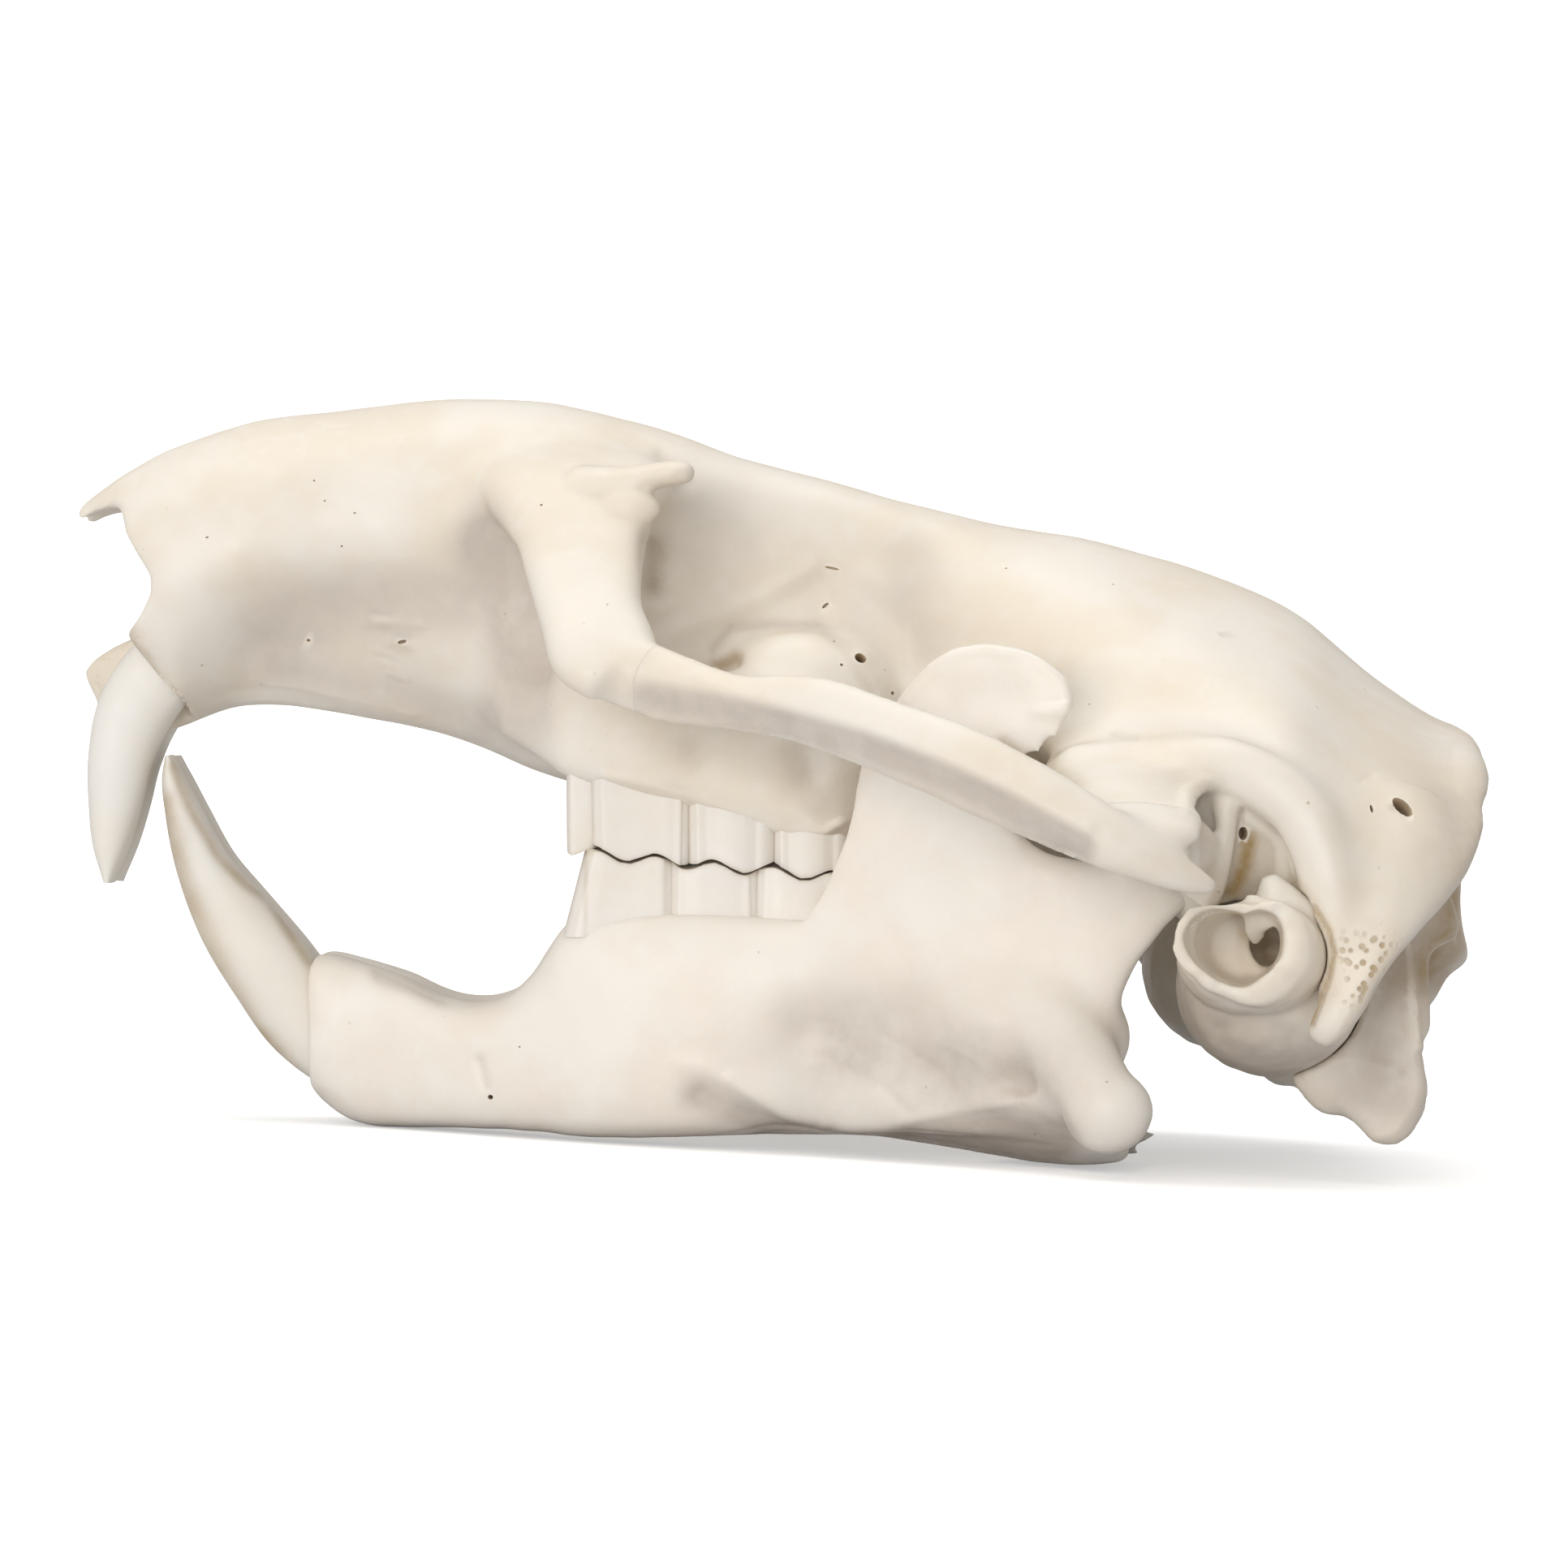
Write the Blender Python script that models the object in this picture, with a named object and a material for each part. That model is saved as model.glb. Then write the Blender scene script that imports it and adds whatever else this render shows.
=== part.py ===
"""Life-size skull of a mountain beaver (Aplodontia rufa), its jaw closed on the cheek teeth.

Lengths are in millimetres until an object is finished. X runs from the nose back to the occiput, Y = 0 is
the plane of symmetry, with the animal's left side at negative Y, and Z is up. Bone is lofted from a few
stations, joined by one Boolean union, rounded where its parts meet, and thinned to a plain number of
faces. Only the left side is described. The finished skull is tipped to rest on its jaw.
"""

import math

import bmesh
import bpy
import numpy as np
from mathutils import Matrix

MM = 0.001
GAP = 0.3
ROOM = 0.38
BITE_GAP = 0.3
REST_TILT = math.radians(2.4)
REST_PLACE = (1.7, 0.0, -0.45)

BONE = (0.86, 0.81, 0.72)
ENAMEL = (0.90, 0.86, 0.76)

SKIN_VOXEL = 0.4
CRANIUM_ROUNDS = (30, 6)
CRANIUM_TRIANGLES = 5200
JAW_ROUNDS = (20, 5)
JAW_TRIANGLES = 1500

# x, top, bottom, half-width near the top, at mid height and near the bottom, squareness
CRANIUM_STATIONS = [
    (-35.2, 31.3, 30.3, 1.5, 1.7, 1.3, 0.9),
    (-33.6, 32.4, 21.2, 4.1, 4.3, 4.2, 0.85),
    (-30.6, 34.3, 20.6, 5.6, 6.3, 4.5, 0.85),
    (-27.0, 35.6, 21.8, 6.2, 7.2, 3.8, 0.85),
    (-22.0, 36.4, 21.5, 6.6, 7.5, 3.4, 0.85),
    (-16.0, 36.9, 20.2, 7.0, 7.8, 4.4, 0.85),
    (-11.0, 36.7, 18.2, 7.4, 7.8, 7.6, 0.8),
    (-7.0, 35.7, 17.6, 7.2, 6.2, 8.4, 0.75),
    (-2.6, 34.2, 16.8, 6.2, 4.5, 8.0, 0.7),
    (2.0, 33.0, 15.9, 5.6, 4.4, 7.6, 0.7),
    (6.5, 31.7, 15.4, 5.8, 5.8, 6.4, 0.75),
    (11.0, 30.7, 14.2, 6.4, 9.2, 5.4, 0.8),
    (16.0, 29.8, 12.6, 7.2, 13.0, 6.6, 0.85),
    (21.0, 28.3, 10.9, 7.6, 16.2, 9.0, 0.9),
    (25.0, 26.5, 9.8, 8.0, 18.2, 11.6, 0.9),
    (28.6, 23.6, 8.6, 9.0, 18.8, 14.0, 0.9),
    (31.0, 21.9, 8.4, 10.0, 18.4, 13.4, 0.85),
    (32.6, 20.8, 8.8, 10.0, 17.4, 12.0, 0.85),
    (33.5, 20.1, 9.2, 9.6, 16.6, 11.4, 0.85),
]
SECTION_POWER = 1.3
CREST_SWEEP = 0.011
CREST_FROM = 20.0
CREST_OVER = 10.0

# rods of the cranium: x, y, z, half-width across, half-height
CHEEK_ROOT = [
    (-10.4, -3.0, 33.0, 2.0, 4.6), (-10.0, -7.8, 31.8, 1.7, 4.6), (-9.6, -10.2, 30.2, 1.4, 3.4),
    (-9.4, -12.2, 28.0, 1.3, 2.8), (-9.0, -14.2, 25.8, 1.3, 2.5), (-8.3, -15.9, 24.0, 1.3, 2.6),
    (-7.4, -17.0, 22.8, 1.0, 2.0),
]
CHEEK_ARCH = [
    (-8.8, -15.2, 24.0, 1.2, 1.6), (-5.4, -17.3, 22.7, 1.2, 2.1), (-2.5, -18.9, 22.0, 1.1, 1.45),
    (1.3, -20.9, 21.4, 1.1, 1.6), (4.9, -22.7, 20.1, 1.2, 1.8), (8.6, -24.2, 18.5, 1.25, 1.9),
    (12.1, -25.2, 16.8, 1.25, 1.75), (15.8, -25.3, 14.9, 1.1, 1.3), (18.6, -24.6, 13.6, 0.75, 0.75),
    (19.6, -24.3, 13.2, 0.4, 0.4),
]
SQUAMOSAL_ROOT = [
    (18.0, -9.0, 20.6, 6.4, 3.0), (17.8, -13.6, 19.6, 5.6, 1.9), (16.6, -18.2, 18.0, 4.9, 1.3),
    (16.0, -21.4, 16.9, 3.4, 1.1), (16.0, -24.6, 15.5, 2.9, 0.9),
]
TOOTH_BEARING = [
    (-11.2, -6.8, 21.4, 1.6, 2.6), (-10.4, -7.5, 21.3, 2.2, 3.1), (-8.0, -7.9, 21.1, 2.35, 3.45),
    (-4.0, -7.9, 20.2, 2.4, 3.55), (0.0, -7.9, 19.1, 2.4, 3.5), (4.0, -7.5, 18.2, 2.2, 3.2),
    (7.4, -6.6, 17.6, 1.4, 2.0),
]
OCCIPUT_SIDE = [
    (32.8, 0.0, 20.1, 1.0, 0.9), (32.6, -5.0, 19.6, 1.1, 0.9), (31.9, -10.0, 18.2, 1.3, 0.9),
    (31.0, -14.0, 15.8, 1.6, 0.9), (29.4, -17.2, 13.0, 1.6, 0.9), (27.6, -18.9, 10.5, 1.0, 0.9),
    (26.3, -19.1, 8.4, 1.0, 1.1), (25.0, -18.8, 6.8, 1.0, 1.0), (24.4, -18.6, 6.1, 0.6, 0.6),
]
MASTOID = [(28.2, -14.6, 14.0, 3.4, 4.4), (27.4, -16.4, 10.8, 2.7, 3.4), (25.8, -17.7, 7.8, 1.5, 1.7)]
TEMPORAL_RIM = [
    (14.0, -18.6, 18.0, 1.2, 1.2), (17.6, -18.6, 18.6, 1.3, 1.1), (20.8, -18.6, 18.9, 1.4, 1.1),
    (23.4, -18.7, 17.2, 1.4, 1.2), (24.9, -18.6, 14.4, 1.4, 1.3), (25.4, -18.4, 11.4, 1.3, 1.4),
    (25.2, -18.2, 8.6, 1.0, 1.2),
]
LACRIMAL_KNOB = [
    (-8.6, -8.6, 31.6, 1.6, 1.2), (-6.6, -9.8, 32.1, 1.1, 0.9), (-5.4, -10.1, 32.6, 0.95, 0.75),
    (-4.7, -10.1, 32.8, 0.6, 0.55),
]
NOSE_FRONT = [
    (-29.5, 0.0, 23.8, 4.2, 3.0), (-31.8, 0.0, 23.8, 3.9, 2.0), (-33.3, 0.0, 23.6, 2.6, 1.2),
    (-34.1, 0.0, 23.4, 1.2, 0.7),
]
PTERYGOID = [
    (7.4, -3.4, 14.6, 0.8, 2.2), (9.6, -3.4, 12.8, 0.6, 2.6), (12.0, -3.6, 11.6, 0.6, 2.2),
    (14.6, -4.6, 11.2, 0.6, 1.2),
]
PAROCCIPITAL = [
    (26.4, -11.0, 10.5, 3.6, 2.2), (26.3, -12.2, 7.0, 3.6, 1.3), (26.9, -12.8, 4.7, 3.2, 0.95),
    (27.8, -13.2, 3.2, 2.2, 0.85), (28.1, -13.5, 2.0, 1.5, 0.75), (28.1, -13.7, 1.0, 0.6, 0.5),
]

# ellipsoids of the cranium: middle, radii
ROOT_CAPSULE = ((0.8, -5.4, 21.9), (4.4, 2.8, 3.5))
LOWER_KNOB = ((-6.7, -10.5, 31.0), (1.0, 0.7, 0.6))
NAPE = ((30.3, 0.0, 14.2), (2.9, 10.0, 6.0))
CONDYLE = ((29.7, -3.9, 9.0), (2.4, 2.1, 2.6))

# the jaw's body and the parts of its angle: x, y, z, half-width across, half-height
JAW_BODY = [
    (-23.2, -2.1, 6.35, 2.0, 3.1), (-22.9, -2.1, 6.3, 2.2, 3.4), (-22.2, -2.15, 6.0, 2.35, 3.75),
    (-21.3, -2.25, 5.6, 2.4, 3.95), (-19.8, -2.5, 5.2, 2.6, 3.9), (-18.6, -2.9, 4.95, 2.7, 3.7),
    (-17.2, -3.4, 4.6, 2.75, 3.35), (-15.9, -3.9, 4.38, 2.8, 3.1), (-14.4, -4.6, 4.35, 2.9, 3.05),
    (-13.2, -5.2, 4.55, 2.9, 3.25), (-12.3, -5.7, 4.95, 2.9, 3.7), (-11.4, -6.2, 5.6, 2.9, 4.35),
    (-10.6, -6.6, 6.05, 3.0, 4.8), (-9.6, -7.1, 6.25, 3.0, 5.0), (-7.0, -7.9, 6.45, 3.1, 5.25),
    (-2.0, -8.8, 6.5, 3.1, 5.2), (3.0, -9.5, 6.2, 3.0, 4.9), (6.4, -10.4, 5.6, 2.4, 4.2),
    (8.6, -11.2, 5.2, 1.2, 2.4),
]
ANGLE_RIB = [
    (9.6, -14.2, 10.0, 0.9, 0.8), (11.6, -16.0, 7.9, 1.2, 1.1), (13.4, -17.8, 5.6, 1.5, 1.4),
    (14.7, -19.0, 3.6, 1.7, 1.5),
]
ANGLE_KNOB = ((14.95, -19.2, 2.95), (2.1, 1.7, 2.0))
ANGLE_PLATE = [
    (2.0, -9.4, 2.6, 1.2, 0.9), (6.0, -11.4, 2.3, 2.2, 0.9), (9.6, -13.4, 2.05, 3.1, 0.85),
    (12.6, -15.0, 1.9, 3.4, 0.9), (15.0, -16.4, 2.0, 2.9, 1.0),
]
ANGLE_PLATE_UP = (0, 0.55, 0.83)
ANGLE_SHELF = [
    (12.6, -12.6, 1.1, 4.0, 0.75), (13.6, -9.8, 1.0, 3.6, 0.6), (15.4, -7.8, 1.0, 2.4, 0.5),
    (16.9, -6.8, 1.1, 1.1, 0.45),
]

# x, z of the ramus seen from the side
RAMUS_OUTLINE = [
    (-1.5, 6.0), (0.4, 10.6), (2.1, 13.6), (3.1, 16.3), (3.6, 19.1), (5.2, 22.1), (6.2, 23.3), (7.7, 24.35),
    (9.6, 24.7), (11.6, 24.25), (13.15, 23.0), (13.5, 21.8), (12.7, 21.0), (11.5, 20.6), (10.6, 19.9),
    (10.2, 18.2), (10.8, 16.1), (12.2, 14.95), (13.7, 14.6), (16.0, 14.6), (18.4, 14.0), (19.3, 13.0),
    (17.9, 11.4), (16.35, 9.4), (15.65, 7.7), (15.45, 5.8), (15.8, 3.4), (14.6, 1.4), (11.0, 1.2),
    (6.0, 1.5), (1.0, 2.0),
]
RAMUS_CENTRE = (9.0, 10.0)
RAMUS_HALF = 1.0
RAMUS_EDGE_POWER = 4
RAMUS_AT = -10.6
RAMUS_SPREAD = 0.40
RAMUS_LEVEL = 12.0
RAMUS_LEAN = 0.05
RAMUS_THICKENS = 0.05
RAMUS_BOW = 0.012
RAMUS_BOW_FROM = 6.0
JAW_JOINT = ((17.3, -18.3, 14.8), (2.0, 2.4, 1.2))

UPPER_INCISOR = [
    (-26.6, -1.85, 25.1, 1.3, 1.35), (-28.6, -1.85, 24.7, 1.7, 1.6), (-30.4, -1.85, 23.5, 1.9, 1.65),
    (-31.75, -1.85, 21.6, 1.85, 1.65), (-32.45, -1.85, 19.4, 1.6, 1.6), (-32.75, -1.8, 17.0, 1.3, 1.5),
    (-32.95, -1.75, 15.0, 0.9, 1.4), (-33.05, -1.7, 13.2, 0.25, 1.2),
]
LOWER_INCISOR = [
    (-19.5, -2.1, 3.8, 1.2, 1.3), (-21.4, -2.05, 4.6, 1.7, 1.45), (-23.2, -1.95, 6.2, 2.05, 1.55),
    (-25.1, -1.9, 8.8, 2.1, 1.6), (-26.95, -1.85, 11.4, 1.85, 1.55), (-28.4, -1.8, 13.9, 1.35, 1.5),
    (-29.4, -1.75, 16.6, 0.9, 1.4), (-29.95, -1.7, 18.5, 0.5, 1.25), (-30.1, -1.7, 19.4, 0.18, 1.1),
]
INCISOR_SQUARENESS = 0.8

# name, x, y, length along the row, width across it
UPPER_TEETH = [
    ("p3", -9.6, -7.6, 1.5, 2.6),
    ("p4", -6.8, -7.9, 4.5, 3.5),
    ("m1", -2.6, -8.0, 4.1, 3.4),
    ("m2", 1.15, -7.9, 3.6, 3.3),
    ("m3", 4.5, -7.5, 3.2, 3.1),
]
LOWER_TEETH = [
    ("p4", -7.5, -7.9, 4.6, 3.2),
    ("m1", -3.25, -8.1, 4.1, 3.3),
    ("m2", 0.65, -8.1, 3.9, 3.2),
    ("m3", 4.4, -8.1, 3.7, 3.0),
]
UPPER_ROOT = 19.0
LOWER_ROOT = 8.0
TOOTH_SQUARENESS = 0.75
ROOT_SWELL = 0.05
STYLE_HEIGHT = 0.2
STYLE_SPREAD = 0.28

# the biting line: height at the start of the row, fall towards the back, and the wave of the wear
BITE_START = -10.0
BITE_HEIGHT = 14.72
BITE_FALL = 0.095
WEAR_WAVE = 0.24
WEAR_LENGTH = 2.8
WEAR_CREST = -8.9

EAR_BULLA = ((22.9, -12.4, 9.2), (4.5, 5.4, 4.9))
EAR_TUBE = [
    (22.0, -11.0, 10.0, 4.0, 3.8), (22.0, -15.0, 10.1, 4.15, 4.1), (21.6, -17.1, 10.2, 3.85, 3.64),
    (21.15, -19.2, 10.3, 3.5, 3.1), (20.5, -21.3, 10.5, 3.0, 2.35),
]
EAR_HOLE = [
    (22.1, -16.6, 10.7, 0.8, 1.1), (21.4, -18.8, 10.6, 1.5, 1.4), (20.5, -21.4, 10.5, 2.25, 1.75),
    (20.5, -23.6, 10.5, 2.3, 1.8),
]

# what is cut away: side outlines as x, z, and hollows as rods
NOSE_OPENING = [
    (-36.5, 30.6), (-34.9, 30.85), (-34.2, 31.1), (-33.4, 31.6), (-32.1, 31.4), (-31.85, 30.1), (-31.1, 28.9),
    (-30.55, 28.1), (-30.55, 27.2), (-31.1, 26.2), (-31.9, 25.2), (-33.4, 24.6), (-36.5, 24.4),
]
NOSE_OPENING_REACH = 12.0
SOCKET_RIM = [(-31.9, 25.3), (-28.6, 20.7), (-29.0, 19.4), (-38.0, 19.4), (-38.0, 25.3)]
SOCKET_REACH = (-8.0, -0.6)
NOSE_HOLLOW = [
    (-36.0, 0.0, 28.0, 4.6, 3.4), (-33.0, 0.0, 28.2, 4.8, 3.2), (-31.0, 0.0, 29.1, 4.9, 3.0),
    (-28.0, 0.0, 30.7, 5.0, 3.2), (-24.0, 0.0, 31.4, 4.4, 2.8), (-21.0, 0.0, 31.4, 1.6, 1.2),
]
SPINE_HOLE = [
    (38.0, 0.0, 11.4, 4.4, 3.8), (32.6, 0.0, 12.0, 4.2, 3.7), (28.0, 0.0, 13.4, 4.6, 4.0),
    (22.0, 0.0, 16.2, 5.4, 4.8), (18.0, 0.0, 17.6, 3.0, 2.6),
]
TEMPORAL_HOLE = [
    (21.2, -24.0, 14.8, 1.9, 2.7), (21.2, -19.0, 14.8, 1.85, 2.6), (21.0, -16.0, 14.6, 1.7, 2.3),
    (20.8, -14.0, 14.4, 0.9, 1.2),
]
# thin cuts that part the cheek arch: middle, half size, turn about Z and about Y in degrees
ARCH_CUTS = [
    ((-6.2, -16.8, 23.1), (GAP / 2, 3.5, 3.5), -34, 18),
    ((16.0, -23.3, 15.6), (5.0, GAP / 2, 5.0), 0, 0),
]
MIDDLE_CUT = ((0, 5 - GAP / 2, 10), (40, 5, 20))


def power(value, exponent):
    """A signed power, which squares up a circle's sine and cosine."""
    return np.sign(value) * np.abs(value) ** exponent


def along(knots, count):
    """Rows read at even steps from a smooth curve through the knots (cubic, by chord length)."""
    rows = np.asarray(knots, float)
    step = np.linalg.norm(np.diff(rows[:, :3], axis=0), axis=1)
    place = np.concatenate([[0], np.cumsum(step)])
    slope = np.gradient(rows, place, axis=0)
    want = np.linspace(0, place[-1], count)
    i = np.clip(np.searchsorted(place, want, side="right") - 1, 0, len(rows) - 2)
    h = (place[i + 1] - place[i])[:, None]
    t = ((want - place[i]) / h[:, 0])[:, None]
    a, b = 2 * t**3 - 3 * t**2 + 1, t**3 - 2 * t**2 + t
    c, d = 3 * t**2 - 2 * t**3, t**3 - t**2
    return a * rows[i] + b * h * slope[i] + c * rows[i + 1] + d * h * slope[i + 1]


def link(name, mesh):
    """A new object that shows a mesh."""
    obj = bpy.data.objects.new(name, mesh)
    bpy.context.scene.collection.objects.link(obj)
    return obj


def mesh_object(form, name):
    """An object made from a bmesh, which is freed."""
    mesh = bpy.data.meshes.new(name)
    form.to_mesh(mesh)
    form.free()
    return link(name, mesh)


def closed_mesh(rings, name):
    """One closed body from a stack of rings, each end closed by a fan to its middle."""
    sides = rings.shape[1]
    form = bmesh.new()
    rows = [[form.verts.new(point) for point in ring] for ring in rings]
    for lower, upper in zip(rows, rows[1:]):
        for k in range(sides):
            n = (k + 1) % sides
            form.faces.new((lower[k], lower[n], upper[n], upper[k]))
    for row in (rows[0], rows[-1]):
        middle = form.verts.new(np.mean([v.co for v in row], axis=0))
        for k in range(sides):
            form.faces.new((row[k], row[(k + 1) % sides], middle))
    bmesh.ops.recalc_face_normals(form, faces=form.faces)
    return mesh_object(form, name)


def trunk(stations, name, count=70, sides=56):
    """A body lofted along X from sections whose half-width changes with height.

    Each section is a superellipse. Its half-width goes from the middle value to the upper or lower one,
    and behind CREST_FROM its sides are swept forward by the square of y.
    """
    rows = along([(x, 0, 0, *rest) for x, *rest in stations], count)
    x, top, low, wide_top, wide_mid, wide_low, square = rows[:, [0, 3, 4, 5, 6, 7, 8]].T[:, :, None]
    turn = np.linspace(0, 2 * math.pi, sides, endpoint=False)[None, :]
    v = np.sin(turn)
    up, down = np.clip(v, 0, 1) ** SECTION_POWER, np.clip(-v, 0, 1) ** SECTION_POWER
    width = wide_mid + (wide_top - wide_mid) * up + (wide_low - wide_mid) * down
    y = width * power(np.cos(turn), square)
    z = (top + low) / 2 + (top - low) / 2 * power(v, square)
    x = x - CREST_SWEEP * np.clip((x - CREST_FROM) / CREST_OVER, 0, 1) * y**2
    return closed_mesh(np.stack([x, y, z + 0 * y], axis=-1), name)


def sweep(knots, name, count=24, sides=20, up=(0, 0, 1), square=1.0, upright=False):
    """A rod whose knots give x, y, z, half-width across and half-height, measured towards up.

    With upright, every ring stands square to X, whatever way the rod goes.
    """
    rows = along(knots, count)
    centre, across, tall = rows[:, :3], rows[:, 3], rows[:, 4]
    ahead = np.gradient(centre, axis=0)
    ahead /= np.linalg.norm(ahead, axis=1, keepdims=True)
    side = np.cross(ahead, np.asarray(up, float))
    side /= np.linalg.norm(side, axis=1, keepdims=True)
    over = np.cross(side, ahead)
    if upright:
        side, over = np.zeros_like(side) + (0, 1, 0), np.zeros_like(over) + (0, 0, 1)
    turn = np.linspace(0, 2 * math.pi, sides, endpoint=False)
    u, v = power(np.cos(turn), square), power(np.sin(turn), square)
    rings = centre[:, None] + side[:, None] * (across[:, None] * u)[..., None]
    rings = rings + over[:, None] * (tall[:, None] * v)[..., None]
    return closed_mesh(rings, name)


def slab(outline, name, low, high):
    """A side outline carried straight across from y = low to y = high."""
    rings = [[(x, y, z) for x, z in outline] for y in (low, high)]
    return closed_mesh(np.array(rings, float), name)


def block(middle, half, name, about_z=0, about_y=0):
    """A box about its middle, turned about Y and then about Z in degrees."""
    form = bmesh.new()
    turn = Matrix.Rotation(math.radians(about_z), 4, "Z") @ Matrix.Rotation(math.radians(about_y), 4, "Y")
    size = Matrix.Diagonal((*(2 * h for h in half), 1))
    bmesh.ops.create_cube(form, size=1, matrix=Matrix.Translation(middle) @ turn @ size)
    return mesh_object(form, name)


def ellipsoid(shape, name, segments=24, rings=16):
    """An ellipsoid from its middle and its three radii."""
    centre, radii = shape
    form = bmesh.new()
    place = Matrix.Translation(centre) @ Matrix.Diagonal((*radii, 1))
    bmesh.ops.create_uvsphere(form, u_segments=segments, v_segments=rings, radius=1, matrix=place)
    return mesh_object(form, name)


def ramus_plate(name, rings=10, sides=72):
    """The thin upright plate of the jaw.

    Rings shrink from its outline to its middle on both faces. Its half-thickness falls to nothing at the
    outline and grows downwards; the plate goes outwards towards the back and leans out above.
    """
    loop = RAMUS_OUTLINE + RAMUS_OUTLINE[:1]
    edge = along([(x, 0, z) for x, z in loop], sides + 1)[:-1, [0, 2]]
    middle = np.asarray(RAMUS_CENTRE)
    share = np.concatenate([np.linspace(0.02, 1, rings), np.linspace(1, 0.02, rings)[1:]])
    face = np.concatenate([np.full(rings, 1.0), np.full(rings - 1, -1.0)])
    flat = middle + share[:, None, None] * (edge - middle)
    x, z = flat[..., 0], flat[..., 1]
    half = RAMUS_HALF * np.sqrt(np.clip(1 - share[:, None] ** RAMUS_EDGE_POWER, 0, 1))
    half = half * (1 + RAMUS_THICKENS * np.clip(RAMUS_LEVEL - z, 0, 10))
    y = RAMUS_AT - RAMUS_SPREAD * x - RAMUS_LEAN * np.clip(z - RAMUS_LEVEL, 0, None) + face[:, None] * half
    y = y + RAMUS_BOW * np.clip(x - RAMUS_BOW_FROM, 0, None) ** 2
    return closed_mesh(np.stack([x, y, z], axis=-1), name)


def occlusion(x):
    """Height of the worn biting line of the cheek teeth at x."""
    wave = WEAR_WAVE * np.cos(2 * math.pi * (x - WEAR_CREST) / WEAR_LENGTH)
    return BITE_HEIGHT - BITE_FALL * (x - BITE_START) + wave


def cheek_tooth(name, x, y, length, width, root, upper, sides=16):
    """A column with one style, on its outer face in an upper tooth and its inner face in a lower one."""
    turn = np.linspace(0, 2 * math.pi, sides, endpoint=False)
    style = math.pi * (1.5 if upper else 0.5)
    away = (turn - style + math.pi) % (2 * math.pi) - math.pi
    reach = 1 + STYLE_HEIGHT * np.exp(-((away / STYLE_SPREAD) ** 2))
    out_x = length / 2 * reach * power(np.cos(turn), TOOTH_SQUARENESS)
    out_y = width / 2 * reach * power(np.sin(turn), TOOTH_SQUARENESS)
    biting = occlusion(x + out_x) + (BITE_GAP if upper else -BITE_GAP)
    down = np.array([0.0, 0.5, 1.0])[:, None]
    swell = 1 + ROOT_SWELL * (1 - down)
    rings = np.stack([x + out_x * swell, y + out_y * swell, root + (biting - root) * down], axis=-1)
    return closed_mesh(rings, name)


def apply_modifiers(obj):
    """Keeps what the modifiers make as the object's own mesh."""
    graph = bpy.context.evaluated_depsgraph_get()
    made = bpy.data.meshes.new_from_object(obj.evaluated_get(graph))
    obj.modifiers.clear()
    old, obj.data = obj.data, made
    bpy.data.meshes.remove(old)


def boolean(obj, others, operation):
    """One Boolean on a collection of closed bodies, which are removed after it."""
    group = bpy.data.collections.new("operands")
    for other in others:
        group.objects.link(other)
    step = obj.modifiers.new("boolean", "BOOLEAN")
    step.operation = operation
    step.operand_type = "COLLECTION"
    step.collection = group
    step.solver = "MANIFOLD"
    apply_modifiers(obj)
    for other in others:
        bpy.data.objects.remove(other)
    bpy.data.collections.remove(group)


def mirrored(obj, name):
    """A copy on the other side of the plane of symmetry."""
    mesh = obj.data.copy()
    mesh.transform(Matrix.Diagonal((1, -1, 1, 1)))
    mesh.flip_normals()
    return link(name, mesh)


def both_sides(pieces):
    """Left pieces with their mirror images."""
    return [side for piece in pieces for side in (piece, mirrored(piece, piece.name + "_right"))]


def loose_bodies(obj):
    """The closed surfaces of a mesh, whose faces share edges, as lists of faces' indices, largest first."""
    faces = obj.data.polygons
    around = {}
    for face in faces:
        for edge in face.edge_keys:
            around.setdefault(edge, []).append(face.index)
    left, bodies = set(range(len(faces))), []
    while left:
        stack, body = [left.pop()], []
        while stack:
            face = stack.pop()
            body.append(face)
            for edge in faces[face].edge_keys:
                for near in around[edge]:
                    if near in left:
                        left.remove(near)
                        stack.append(near)
        bodies.append(body)
    return sorted(bodies, key=lambda body: -sum(faces[i].area for i in body))


def keep_body(obj, rank=0):
    """Keeps one closed surface of a mesh, the largest unless another rank is given."""
    keep = set(loose_bodies(obj)[rank])
    form = bmesh.new()
    form.from_mesh(obj.data)
    form.faces.ensure_lookup_table()
    bmesh.ops.delete(form, geom=[f for f in form.faces if f.index not in keep], context="FACES")
    form.to_mesh(obj.data)
    form.free()


def remesh(obj, voxel):
    """Gives an object an even skin of faces about one voxel long."""
    step = obj.modifiers.new("even skin", "REMESH")
    step.mode = "VOXEL"
    step.voxel_size = voxel
    apply_modifiers(obj)


def relax(obj, fill, even, share=0.6, slide=0.3):
    """Fills creases where parts meet, by moves that only go outwards, then evens the skin a little."""
    mesh = obj.data
    count = len(mesh.vertices)
    place = np.empty(count * 3)
    mesh.vertices.foreach_get("co", place)
    place = place.reshape(-1, 3)
    ends = np.empty(len(mesh.edges) * 2, int)
    mesh.edges.foreach_get("vertices", ends)
    ends = ends.reshape(-1, 2)
    a, b = np.concatenate([ends, ends[:, ::-1]]).T
    near = np.bincount(a, minlength=count)[:, None]
    for turn in range(fill + even):
        mean = np.stack([np.bincount(a, place[b, k], count) for k in range(3)], axis=1) / near
        move = mean - place
        if turn < fill:
            normal = np.empty(count * 3)
            mesh.vertices.foreach_get("normal", normal)
            normal = normal.reshape(-1, 3)
            rise = (move * normal).sum(axis=1, keepdims=True)
            move = normal * np.clip(rise, 0, None) + slide * (move - normal * rise)
        place = place + share * move
        mesh.vertices.foreach_set("co", place.ravel())
        mesh.update()


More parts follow.
